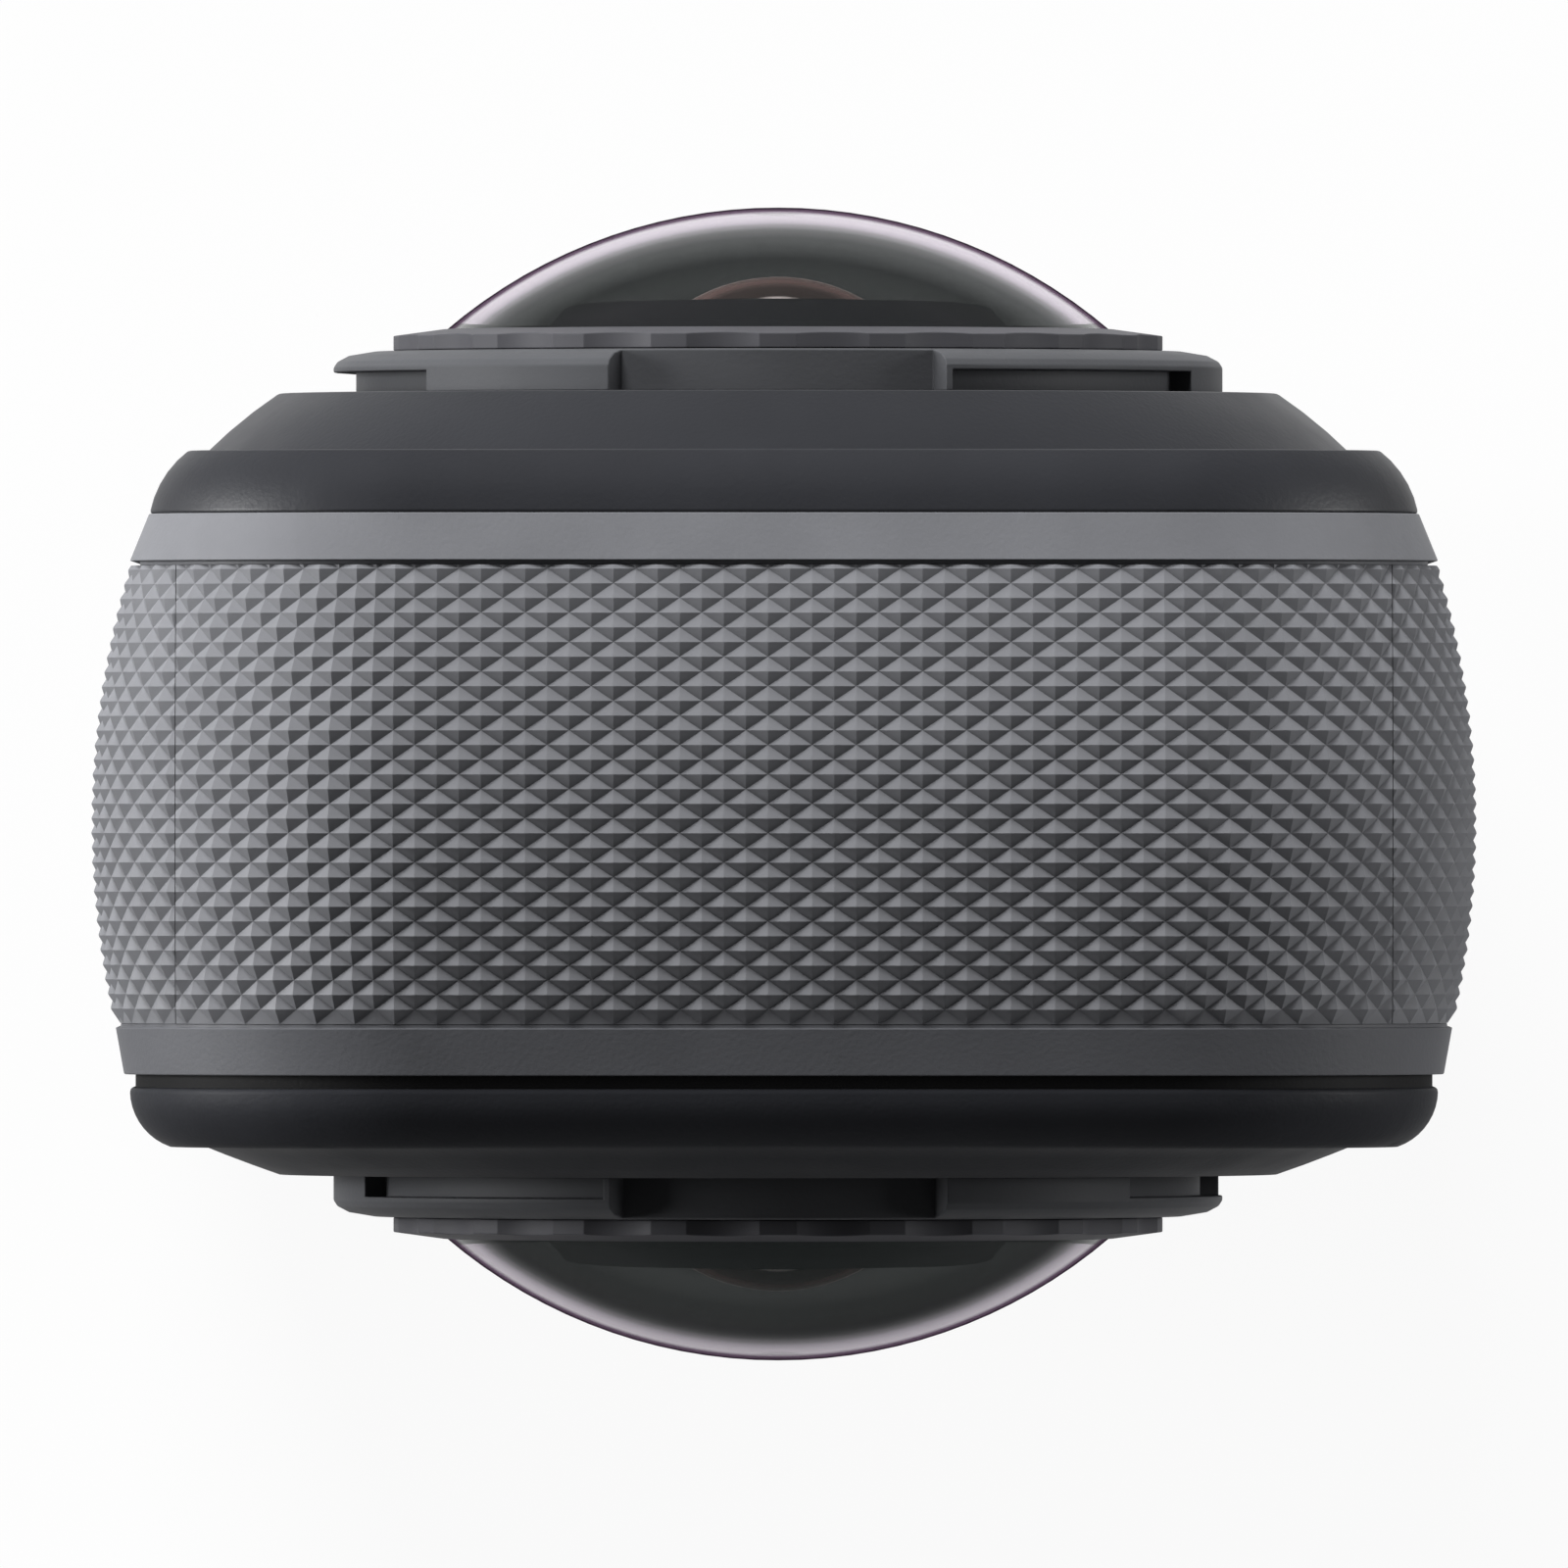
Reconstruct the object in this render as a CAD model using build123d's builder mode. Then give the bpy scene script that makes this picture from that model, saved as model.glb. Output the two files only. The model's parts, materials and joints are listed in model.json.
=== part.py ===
from build123d import *
from math import cos, radians, sin
import os

os.makedirs("parts", exist_ok=True)

# A stick-shaped camera with one very wide lens on its plain front and one on its screen side.
# Millimetres. The origin is the middle of the foot, +Z is up, +Y leaves the plain front and
# -Y the screen side, +X is the side with the buttons and -X the side with the battery door.
# The body is as large as what it holds: half as wide as a lens and its mound reach, as deep as
# battery, board and screen lie behind each other, and as tall as battery, card, socket and lens
# stand above each other. Its walls are drawn as sections: a half width (w) against Y.

# Clearances
bond_gap = 0.05  # between pieces that are glued or pressed together
part_gap = 0.15  # round a cap or a door in its opening
running_gap = 0.08  # round a pin or a stem that turns or slides
overrun = 2.0  # how far a cut runs past what it cuts

# A lens from its axis outwards
lens_x = -0.2
front_element_radius = 3.15
baffle_step_width = 1.46
baffle_shelf_width = 2.56
baffle_bevel_width = 0.67
baffle_cone_width = 1.36
barrel_lip_width = 0.2
barrel_ring_gap = 0.8
dome_ledge_width = 0.98
ring_wall = 1.37
ring_collar_width = 0.35
seat_ring_gap = 0.1
seat_wall = 0.75
seat_land_width = 0.1
seat_block_step = 0.2
seat_neck_step = 0.4
seat_shoulder_step = 0.24
seat_corner_step = 0.38
seat_flange_step = 0.13
mound_rim_width = 1.83  # bayonet flange to the edge of the mound's flat top
front_mound_slope = 2.43
rear_mound_slope = 2.67
face_margin = 0.64  # foot of the front mound to the edge of the flat face

baffle_step_radius = front_element_radius + baffle_step_width
baffle_shelf_radius = baffle_step_radius + baffle_shelf_width
baffle_cone_radius = baffle_shelf_radius + baffle_bevel_width
baffle_radius = baffle_cone_radius + baffle_cone_width
barrel_neck_radius = baffle_radius + barrel_lip_width
ring_throat_radius = barrel_neck_radius + barrel_ring_gap
ring_bore_radius = ring_throat_radius + dome_ledge_width
dome_edge_radius = ring_bore_radius - bond_gap
ring_stem_radius = ring_bore_radius + ring_wall
ring_edge_radius = ring_stem_radius + ring_collar_width
seat_bore_radius = ring_stem_radius + seat_ring_gap
seat_spigot_radius = seat_bore_radius + seat_wall
seat_top_radius = seat_spigot_radius + seat_land_width
seat_block_radius = seat_top_radius + seat_block_step
seat_neck_radius = seat_block_radius + seat_neck_step
seat_shoulder_radius = seat_neck_radius + seat_shoulder_step
seat_corner_radius = seat_shoulder_radius + seat_corner_step
seat_flange_radius = seat_corner_radius + seat_flange_step
mound_top_radius = seat_flange_radius + mound_rim_width
front_mound_radius = mound_top_radius + front_mound_slope
rear_mound_radius = mound_top_radius + rear_mound_slope

# Half widths of the body wall, set back from the grip's widest line
front_face_setback = 3.25
rear_face_setback = 2.65
grip_front_setback = 1.27
grip_rear_setback = 0.756
frame_setback = 2.6
frame_wall = 1.5

front_face_w = front_mound_radius + face_margin
half_width = front_face_w + front_face_setback
rear_face_w = half_width - rear_face_setback
grip_front_w = half_width - grip_front_setback
grip_rear_w = half_width - grip_rear_setback
frame_outer_w = half_width - frame_setback
frame_inner_w = frame_outer_w - frame_wall
grip_inner_w = frame_outer_w + bond_gap

# Corners and foot of the front view
top_corner_radius = 10.8
bottom_corner_radius = 8.0
foot_cut = 1.3  # how far the rounded outline would reach below the flat foot

frame_foot_z = half_width - frame_outer_w - foot_cut

# Battery and memory card, which one door covers
card_width = 11.0
card_length = 15.0
card_thickness = 0.7
card_gap = 0.12
card_slot_wall = 0.35
card_rise = 1.9  # ceiling of the battery bay up to the middle of the card
card_spring_room = 1.2  # behind the card, where it is pushed to let go
battery_height = 49.0
battery_foot = 18.5  # flat foot up to the battery
battery_y = -0.4  # depth of the battery's middle, and of the doors and side buttons
battery_room = 0.3  # all round the battery
bay_wall = 0.9
bay_end_room = 0.6  # between the battery's end and the bay, for the contacts
side_room = 6.5  # between the battery and the frame, for the loudspeaker and the side switches

battery_thickness = card_width
battery_end_x = frame_inner_w - side_room
battery_width = battery_end_x + grip_inner_w + part_gap
battery_head_z = battery_foot + battery_height
battery_z = (battery_foot + battery_head_z) / 2
bay_end_x = battery_end_x + bay_end_room
bay_height = battery_height + 2 * battery_room
bay_depth = battery_thickness + 2 * battery_room
bay_front_y = battery_y + bay_depth / 2 + bay_wall
bay_back_y = battery_y - bay_depth / 2 - bay_wall
card_slot_height = card_thickness + 2 * card_gap + 2 * card_slot_wall
card_slot_width = card_width + 2 * card_gap + 2 * card_slot_wall
card_slot_length = card_length + card_spring_room + card_slot_wall
card_z = battery_head_z + battery_room + card_rise

# Heights above the battery, up to the lenses and the top of the body
door_foot_gap = 1.2  # battery's lower end down to the door's lower end
door_head_gap = 1.3  # card slot up to the door's upper end
usb_door_height = 13.6
usb_door_gap = 4.38  # between the two doors
lens_rise = 18.5  # socket up to the lens axis

door_foot_z = battery_foot - door_foot_gap
door_head_z = card_z + card_slot_height / 2 + door_head_gap
usb_z = door_head_z + usb_door_gap + usb_door_height / 2
lens_z = usb_z + lens_rise
height = lens_z + half_width
section_z = height / 2  # where the wall sections are drawn

# Depths on the screen side: battery bay, main board, shield can, display and glass
board_gap = 0.7
board_thickness = 0.8
can_depth = 0.85
display_gap = 0.3
display_thickness = 1.53
screen_thickness = 0.75
rear_cover_depth = 1.98  # gasket to flat face
rear_gasket_thickness = 0.43
rear_band_width = 1.70

board_front_y = bay_back_y - board_gap
board_back_y = board_front_y - board_thickness
display_front_y = board_back_y - can_depth - display_gap
glass_back_y = display_front_y - display_thickness
rear_face_y = glass_back_y - screen_thickness
rear_cover_y = rear_face_y + rear_cover_depth
rear_seam_y = rear_cover_y + rear_gasket_thickness
grip_back_y = rear_seam_y + rear_band_width

# Depths on the plain front
front_room = 3.45  # battery bay to the inside of the cover
cover_wall = 1.3
front_cover_depth = 2.09  # seam to flat face
front_band_width = 1.72
grip_crown_y = -1.3  # where the grip is widest

front_face_y = bay_front_y + front_room + cover_wall
front_seam_y = front_face_y - front_cover_depth
grip_front_y = front_seam_y - front_band_width

# A lens along its axis: heights above its mound's flat top, and depths below it
front_mound_height = 1.99
rear_mound_height = 1.01
seat_height = 1.40
ring_seat_gap = 0.026
ring_edge_height = 0.491
ring_crown_height = 0.233
ring_foot_drop = 1.04
lens_seal_thickness = 1.0
flange_thickness = 1.2

mound_depths = {1: front_face_y + front_mound_height, -1: rear_mound_height - rear_face_y}
ring_collar_rise = seat_height + ring_seat_gap
ring_edge_rise = ring_collar_rise + ring_edge_height
ring_top_rise = ring_edge_rise + ring_crown_height
flange_top_drop = ring_foot_drop + lens_seal_thickness
flange_foot_drop = flange_top_drop + flange_thickness


def draw_outline(half_w):
    """Draw the closed front view of the body, half_w from its centre line."""
    inset = half_width - half_w
    top_x = half_width - top_corner_radius
    top_z = height - top_corner_radius
    top_r = top_corner_radius - inset
    foot_x = half_width - bottom_corner_radius
    foot_z = bottom_corner_radius - foot_cut
    foot_r = bottom_corner_radius - inset
    Line((half_w, section_z), (half_w, top_z))
    CenterArc((top_x, top_z), top_r, 0, 90)
    Line((top_x, top_z + top_r), (-top_x, top_z + top_r))
    CenterArc((-top_x, top_z), top_r, 90, 90)
    Line((-half_w, top_z), (-half_w, foot_z))
    CenterArc((-foot_x, foot_z), foot_r, 180, 90)
    Line((-foot_x, foot_z - foot_r), (foot_x, foot_z - foot_r))
    CenterArc((foot_x, foot_z), foot_r, 270, 90)
    Line((half_w, foot_z), (half_w, section_z))


with BuildLine(Plane.XZ) as outline_lines:
    draw_outline(half_width)
outline = outline_lines.wire()


def at_depth(y):
    """Plane across the body at depth y, drawn in X and Z; extruding from it goes towards -Y."""
    return Plane.XZ.offset(-y)


def at_side(x):
    """Plane along the body at x, drawn in Y and Z; extruding from it goes towards +X."""
    return Plane.YZ.offset(x)


def add_ring(*points):
    """Sweep a straight-sided wall section round the body."""
    with BuildSketch(Plane.XY.offset(section_z)) as section:
        with BuildLine():
            Polyline(*points, close=True)
        make_face()
    sweep(section.sketch, path=outline)


def add_plate(half_w, back_y, face_y):
    """Fill the front view of the body between two depths."""
    with BuildSketch(at_depth(back_y)) as plate:
        with BuildLine():
            draw_outline(half_w)
        make_face()
    extrude(plate.sketch, amount=back_y - face_y)


def cut_foot():
    """Cut away what lies below the flat foot."""
    with BuildSketch(Plane.XY) as foot:
        Rectangle(half_width * 3, half_width * 3)
    extrude(foot.sketch, amount=-foot_cut - overrun, mode=Mode.SUBTRACT)


def save(piece, name):
    """Label a finished piece and write it."""
    piece.part.label = name
    export_step(piece.part, f"parts/{name}.step")


# Inner frame: a ring wall, the battery bay, the plate between the lenses, and posts and seats
barrel_setback = 0.4  # neck of a lens barrel to its body
barrel_post_offset = 2.4  # barrel to the middle of a post under its flange
barrel_post_radius = 1.3
barrel_screw_radius = 0.6
barrel_screw_length = 4.0
lens_plate_thickness = 1.0
lens_plate_margin = 0.8  # posts down to the lower edge of the plate between the lenses

insert_radius = 5.0
insert_bore_radius = 2.6
insert_length = 8.5
insert_boss_wall = 1.5
base_end_setback = 8.6
base_screw_inset = 2.4
base_screw_y = 4.6
base_screw_radius = 0.8
base_screw_length = 2.4

board_side_gap = 1.9
board_foot_z = 5.5
board_head_drop = 19.5  # lens axis down to the upper end of the main board
board_screw_radius = 0.5
board_screw_length = 2.0
board_post_radius = 1.2
board_post_inset_x = 2.4
board_post_inset_z = 4.5

usb_height = 8.94
usb_thickness = 3.16
usb_corner_radius = 1.4
usb_length = 7.3
usb_board_thickness = 0.8
usb_board_length = 10.6
usb_board_height = 12.5
usb_shelf_thickness = 1.0
usb_shelf_height = 11.0

power_button_drop = 21.5  # below the lens axis
side_button_pitch = 12.0
side_switch_reach = 2.3  # frame wall to the small board behind the side buttons
side_post_radius = 1.2
side_board_end = 6.5  # how far that board runs past the middle of each switch
stem_radius = 1.0
stem_seal_radius = 1.6
stem_seal_thickness = 0.6

speaker_z = 33.0
speaker_slot_width = 6.0
speaker_slot_height = 0.9
speaker_slot_pitch = 2.4
speaker_slot_count = 4

front_gasket_width = 0.6
front_gasket_thickness = 0.4

barrel_radius = barrel_neck_radius - barrel_setback
barrel_post_circle = barrel_radius + barrel_post_offset
lens_plate_drop = barrel_post_circle + barrel_post_radius + lens_plate_margin
base_y = (grip_front_y + grip_back_y) / 2  # middle of the foot
base_half_width = half_width - base_end_setback
base_screw_x = base_half_width - base_screw_inset
base_screw_places = [
    (x, base_y + y) for x in (-base_screw_x, base_screw_x) for y in (-base_screw_y, base_screw_y)
]
usb_board_y = battery_y + usb_thickness / 2
board_half_width = frame_inner_w - board_side_gap
board_head_z = lens_z - board_head_drop
power_button_z = lens_z - power_button_drop
quick_button_z = power_button_z - side_button_pitch
side_button_places = [(battery_y, power_button_z), (battery_y, quick_button_z)]
side_post_places = [
    (battery_y, (power_button_z + quick_button_z) / 2),
    (battery_y, quick_button_z - side_board_end + side_post_radius),
]
front_gasket_w = frame_outer_w - frame_wall / 2


def barrel_post_places(side):
    """Middles of the three posts under one lens barrel, in X and Z."""
    turns = [radians(a) for a in (90, 210, 330)]
    return [
        (lens_x + side * barrel_post_circle * sin(t), lens_z + barrel_post_circle * cos(t))
        for t in turns
    ]


board_post_places = [
    (x, z)
    for x in (board_post_inset_x - frame_inner_w, bay_end_x - board_post_inset_x)
    for z in (battery_foot + board_post_inset_z, battery_head_z - board_post_inset_z)
]

with BuildPart() as mid_frame:
    add_ring(
        (frame_inner_w, rear_seam_y),
        (frame_outer_w, rear_seam_y),
        (frame_outer_w, front_seam_y),
        (frame_inner_w, front_seam_y),
    )
    # groove that holds the front gasket
    with BuildSketch(Plane.XY.offset(section_z)):
        with Locations((front_gasket_w, front_seam_y)):
            Rectangle(front_gasket_width, 2 * front_gasket_thickness)
    sweep(path=outline, mode=Mode.SUBTRACT)
    # plate that both lens barrels stand on
    with BuildSketch(at_depth(lens_plate_thickness / 2)):
        with BuildLine():
            draw_outline(frame_inner_w + bond_gap)
        make_face()
        with Locations((0, lens_z - lens_plate_drop)):
            Rectangle(height, height, align=(Align.CENTER, Align.MAX), mode=Mode.SUBTRACT)
    extrude(amount=lens_plate_thickness)
    # box round the battery and the card slot, open on the left
    with BuildSketch(at_side(-frame_inner_w - bond_gap)):
        with Locations((battery_y, battery_z)):
            Rectangle(bay_depth + 2 * bay_wall, bay_height + 2 * bay_wall)
    extrude(amount=bay_end_x + bay_wall + frame_inner_w + bond_gap)
    with BuildSketch(at_side(-frame_inner_w - bond_gap)):
        with Locations((battery_y, card_z)):
            Rectangle(card_slot_width + 2 * bay_wall, card_slot_height + 2 * bay_wall)
    extrude(amount=card_slot_length + bay_wall)
    with BuildSketch(at_side(-half_width)):
        with Locations((battery_y, battery_z)):
            Rectangle(bay_depth, bay_height)
    extrude(amount=bay_end_x + half_width, mode=Mode.SUBTRACT)
    with BuildSketch(at_side(-frame_outer_w - overrun)):
        with Locations((battery_y, card_z)):
            Rectangle(card_slot_width + 2 * bond_gap, card_slot_height + 2 * bond_gap)
    extrude(amount=card_slot_length + overrun + bond_gap, mode=Mode.SUBTRACT)
    # posts for the main board
    with BuildSketch(at_depth(bay_back_y)):
        with Locations(*board_post_places):
            Circle(board_post_radius)
    extrude(amount=bay_back_y - board_front_y)
    with BuildSketch(at_depth(board_front_y)):
        with Locations(*board_post_places):
            Circle(board_screw_radius + bond_gap)
    extrude(amount=board_thickness - board_screw_length - bond_gap, mode=Mode.SUBTRACT)
    # posts for the lens barrels
    for side in (1, -1):
        flange_depth = mound_depths[side] - flange_foot_drop
        with BuildSketch(at_depth(0)):
            with Locations(*barrel_post_places(side)):
                Circle(barrel_post_radius)
        extrude(amount=-side * flange_depth)
        with BuildSketch(at_depth(side * flange_depth)):
            with Locations(*barrel_post_places(side)):
                Circle(barrel_screw_radius + bond_gap)
        extrude(amount=side * barrel_screw_length, mode=Mode.SUBTRACT)
    # boss round the tripod bush
    with BuildSketch(Plane.XY.offset(frame_foot_z)):
        with Locations((0, base_y)):
            Circle(insert_radius + insert_boss_wall)
    extrude(amount=insert_length + insert_boss_wall - frame_foot_z)
    with BuildSketch(Plane.XY):
        with Locations((0, base_y)):
            Circle(insert_radius + bond_gap)
    extrude(amount=insert_length + bond_gap, mode=Mode.SUBTRACT)
    with BuildSketch(Plane.XY):
        with Locations(*base_screw_places):
            Circle(base_screw_radius + bond_gap)
    extrude(amount=base_screw_length + bond_gap, mode=Mode.SUBTRACT)
    # socket opening, and the shelf behind its small board
    with BuildSketch(at_side(-half_width)):
        with Locations((battery_y, usb_z)):
            RectangleRounded(usb_thickness + 2 * bond_gap, usb_height + 2 * bond_gap, usb_corner_radius)
    extrude(amount=half_width - frame_inner_w + bond_gap, mode=Mode.SUBTRACT)
    with BuildSketch(at_side(-frame_inner_w - bond_gap)):
        with Locations((usb_board_y + usb_board_thickness + usb_shelf_thickness / 2, usb_z)):
            Rectangle(usb_shelf_thickness, usb_shelf_height)
    extrude(amount=usb_board_length + bond_gap)
    # posts, stem holes and seal seats of the side buttons
    with BuildSketch(at_side(frame_inner_w + bond_gap)):
        with Locations(*side_post_places):
            Circle(side_post_radius)
    extrude(amount=-side_switch_reach - bond_gap)
    with BuildSketch(at_side(half_width)):
        with Locations(*side_button_places):
            Circle(stem_radius + running_gap)
    extrude(amount=frame_inner_w - half_width - bond_gap, mode=Mode.SUBTRACT)
    with BuildSketch(at_side(half_width)):
        with Locations(*side_button_places):
            Circle(stem_seal_radius)
    extrude(amount=frame_outer_w - half_width - stem_seal_thickness, mode=Mode.SUBTRACT)
    # sound slots
    with BuildSketch(at_side(half_width)):
        with Locations((battery_y, speaker_z)):
            with GridLocations(0, speaker_slot_pitch, 1, speaker_slot_count):
                SlotOverall(speaker_slot_width, speaker_slot_height)
    extrude(amount=frame_inner_w - half_width - bond_gap, mode=Mode.SUBTRACT)
save(mid_frame, "mid_frame")

# Grip: one barrel-shaped wall in three pieces, with openings for the doors and buttons
grip_seam_setback = 2.9
grip_seam_gap = 0.08
door_margin = 1.0  # battery to the edges of its door
door_corner_radius = 1.5

usb_door_reach = 5.2  # battery_y forwards to the door's free edge
usb_pin_setback = 5.0  # battery_y backwards to the hinge pin
usb_pin_depth = 0.94  # the grip's widest line in to the hinge pin
usb_pin_radius = 0.3
usb_pin_tail = 1.2  # how far the pin runs into the grip at each end
usb_knuckle_radius = 0.6
usb_swing_gap = 0.95  # hinge pin backwards to the edge of the opening

button_height = 8.0
button_width = 4.0
button_rim = 0.6  # width of the hidden rim that keeps a side button in
button_rim_thickness = 0.5
button_travel = 0.45

grip_seam_x = half_width - grip_seam_setback
door_width = battery_thickness + 2 * door_margin
door_height = door_head_z - door_foot_z
door_z = (door_head_z + door_foot_z) / 2
usb_pin_y = battery_y - usb_pin_setback
usb_pin_w = half_width - usb_pin_depth


def draw_grip_section(inner_w):
    """Draw the barrel-shaped wall section of the grip."""
    ThreePointArc(
        (grip_front_w, grip_front_y),
        (half_width, grip_crown_y),
        (grip_rear_w, grip_back_y),
    )
    Polyline(
        (grip_rear_w, grip_back_y),
        (inner_w, grip_back_y),
        (inner_w, grip_front_y),
        (grip_front_w, grip_front_y),
    )


def add_grip_wall(inner_w):
    """Sweep the grip's wall round the body and cut it off at the foot."""
    with BuildSketch(Plane.XY.offset(section_z)) as section:
        with BuildLine():
            draw_grip_section(inner_w)
        make_face()
    sweep(section.sketch, path=outline)
    cut_foot()


def keep_side(side):
    """Keep one side piece of the grip, from its upper seam to the base plate."""
    seam_x = side * (grip_seam_x + grip_seam_gap / 2)
    base_x = side * (base_half_width + grip_seam_gap)
    far_x = side * (half_width + overrun)
    with BuildSketch(at_depth(half_width)) as piece:
        with BuildLine():
            Polyline(
                (far_x, -overrun),
                (far_x, height + overrun),
                (seam_x, height + overrun),
                (seam_x, section_z),
                (base_x, section_z),
                (base_x, -overrun),
                close=True,
            )
        make_face()
    extrude(piece.sketch, amount=half_width * 2, mode=Mode.INTERSECT)


with BuildPart() as grip_top:
    add_grip_wall(grip_inner_w)
    with BuildSketch(at_depth(half_width)):
        with Locations((0, section_z)):
            Rectangle(2 * grip_seam_x - grip_seam_gap, height, align=(Align.CENTER, Align.MIN))
    extrude(amount=half_width * 2, mode=Mode.INTERSECT)
save(grip_top, "grip_top")

with BuildPart() as grip_left:
    add_grip_wall(grip_inner_w)
    keep_side(-1)
    # battery door opening
    with BuildSketch(at_side(-half_width - overrun)):
        with Locations((battery_y, door_z)):
            RectangleRounded(door_width + 2 * part_gap, door_height + 2 * part_gap, door_corner_radius)
    extrude(amount=half_width, mode=Mode.SUBTRACT)
    # socket door opening, wider behind the hinge where the door's corner swings
    with BuildSketch(at_side(-half_width - overrun)):
        with Locations((usb_pin_y - usb_swing_gap, usb_z)):
            Rectangle(
                usb_pin_setback + usb_swing_gap + usb_door_reach + part_gap,
                usb_door_height + 2 * part_gap,
                align=(Align.MIN, Align.CENTER),
            )
    extrude(amount=half_width, mode=Mode.SUBTRACT)
    # blind holes for the hinge pin
    with BuildSketch(Plane.XY.offset(usb_z - usb_door_height / 2 - usb_pin_tail - bond_gap)):
        with Locations((-usb_pin_w, usb_pin_y)):
            Circle(usb_pin_radius + bond_gap)
    extrude(amount=usb_door_height + 2 * usb_pin_tail + 2 * bond_gap, mode=Mode.SUBTRACT)
save(grip_left, "grip_left")

with BuildPart() as grip_right:
    add_grip_wall(grip_inner_w)
    keep_side(1)
    # pockets for the buttons' rims, then the holes of their caps
    with BuildSketch(at_side(frame_outer_w)):
        with Locations(*side_button_places):
            SlotOverall(
                button_height + 2 * button_rim + 2 * part_gap,
                button_width + 2 * button_rim + 2 * part_gap,
                rotation=90,
            )
    extrude(amount=bond_gap + button_travel + button_rim_thickness + bond_gap, mode=Mode.SUBTRACT)
    with BuildSketch(at_side(frame_outer_w)):
        with Locations(*side_button_places):
            SlotOverall(button_height + 2 * part_gap, button_width + 2 * part_gap, rotation=90)
    extrude(amount=half_width, mode=Mode.SUBTRACT)
    with BuildSketch(at_side(frame_outer_w)):
        with Locations((battery_y, speaker_z)):
            with GridLocations(0, speaker_slot_pitch, 1, speaker_slot_count):
                SlotOverall(speaker_slot_width, speaker_slot_height)
    extrude(amount=half_width, mode=Mode.SUBTRACT)
save(grip_right, "grip_right")

# Trim bands on both sides of the grip
front_band_edge_setback = 1.95  # at the front cover
front_shadow_setback = 1.65  # floor of the shadow line between band and grip
front_band_setback = 1.31
front_shadow = 0.15
rear_shadow = 0.14
rear_shadow_setback = 1.01
rear_band_setback = 0.84
rear_band_edge_setback = 1.12  # at the rear gasket

front_band_edge_w = half_width - front_band_edge_setback
front_shadow_w = half_width - front_shadow_setback
front_band_w = half_width - front_band_setback
rear_shadow_w = half_width - rear_shadow_setback
rear_band_w = half_width - rear_band_setback
rear_band_edge_w = half_width - rear_band_edge_setback

with BuildPart() as front_trim_band:
    add_ring(
        (grip_inner_w, grip_front_y),
        (front_shadow_w, grip_front_y),
        (front_shadow_w, grip_front_y + front_shadow),
        (front_band_w, grip_front_y + front_shadow),
        (front_band_edge_w, front_seam_y),
        (grip_inner_w, front_seam_y),
    )
save(front_trim_band, "front_trim_band")

with BuildPart() as rear_trim_band:
    add_ring(
        (grip_inner_w, grip_back_y),
        (rear_shadow_w, grip_back_y),
        (rear_shadow_w, grip_back_y - rear_shadow),
        (rear_band_w, grip_back_y - rear_shadow),
        (rear_band_edge_w, rear_seam_y),
        (grip_inner_w, rear_seam_y),
    )
    cut_foot()
save(rear_trim_band, "rear_trim_band")

# Covers: a flat face, a rounded edge, a short skirt, a lip inside the frame and a lens mound
cover_lip = 0.6
cover_lip_length = 0.8
seam_chamfer = 0.06
front_edge_setback = 1.98
front_edge_bulge = 0.22
front_skirt_reach = 0.6  # from the inside of the frame out to the inside of the skirt
rear_edge_setback = 1.31
rear_edge_roll = 0.13  # height of the chamfer where the cover meets its gasket
rear_edge_bulge = 0.36
rear_skirt_reach = 0.3

mound_wall = 1.3
mound_room_margin = 0.75  # bayonet flange out to the wall of the hollow behind the mound
front_mound_bulge = 0.075
rear_mound_bulge = 0.02

front_edge_w = half_width - front_edge_setback
front_skirt_w = frame_inner_w + front_skirt_reach
rear_edge_w = half_width - rear_edge_setback
rear_skirt_w = frame_inner_w + rear_skirt_reach
mound_room_radius = seat_flange_radius + mound_room_margin


def lens_plane(side, turn=90):
    """Plane through a lens axis, drawn in distance from the axis and height above the mound.

    Side 1 is the front lens and -1 the rear one. The turn is in degrees from straight up, towards
    +X for the front lens and towards -X for the rear one.
    """
    t = radians(turn)
    return Plane(
        origin=(lens_x, side * mound_depths[side], lens_z),
        x_dir=(side * sin(t), 0, cos(t)),
        z_dir=(-side * cos(t), 0, sin(t)),
    )


def lens_axis(side):
    """Axis of a lens, pointing out of the body; side 1 is the front."""
    return Axis((lens_x, 0, lens_z), (0, side, 0))


def add_mound(side, mound_height, base_radius, bulge):
    """Add the round mound that carries the lens, hollow behind and open in the middle."""
    with BuildSketch(lens_plane(side)) as mound:
        with BuildLine():
            Line((0, 0), (mound_top_radius, 0))
            SagittaArc((mound_top_radius, 0), (base_radius, -mound_height), bulge)
            Polyline(
                (base_radius, -mound_height),
                (base_radius, -mound_height - cover_wall),
                (0, -mound_height - cover_wall),
                (0, 0),
            )
        make_face()
    revolve(mound.sketch, axis=lens_axis(side))
    with BuildSketch(at_depth(0)) as room:
        with Locations((lens_x, lens_z)):
            Circle(mound_room_radius)
    extrude(room.sketch, amount=-side * (mound_depths[side] - mound_wall), mode=Mode.SUBTRACT)
    with BuildSketch(at_depth(0)) as hole:
        with Locations((lens_x, lens_z)):
            Circle(seat_spigot_radius + bond_gap)
    extrude(hole.sketch, amount=-side * (mound_depths[side] + overrun), mode=Mode.SUBTRACT)


light_gap = 4.39  # front mound down to the middle of the status light
light_length = 4.0
light_width = 1.2
light_rim = 0.8
light_rim_thickness = 0.6
mic_spread = 6.0
mic_hole_radius = 0.45
mic_drop = 4.0  # status light down to the microphone holes
light_z = lens_z - front_mound_radius - light_gap
mic_places = [(-mic_spread, light_z - mic_drop), (mic_spread, light_z - mic_drop)]

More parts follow.
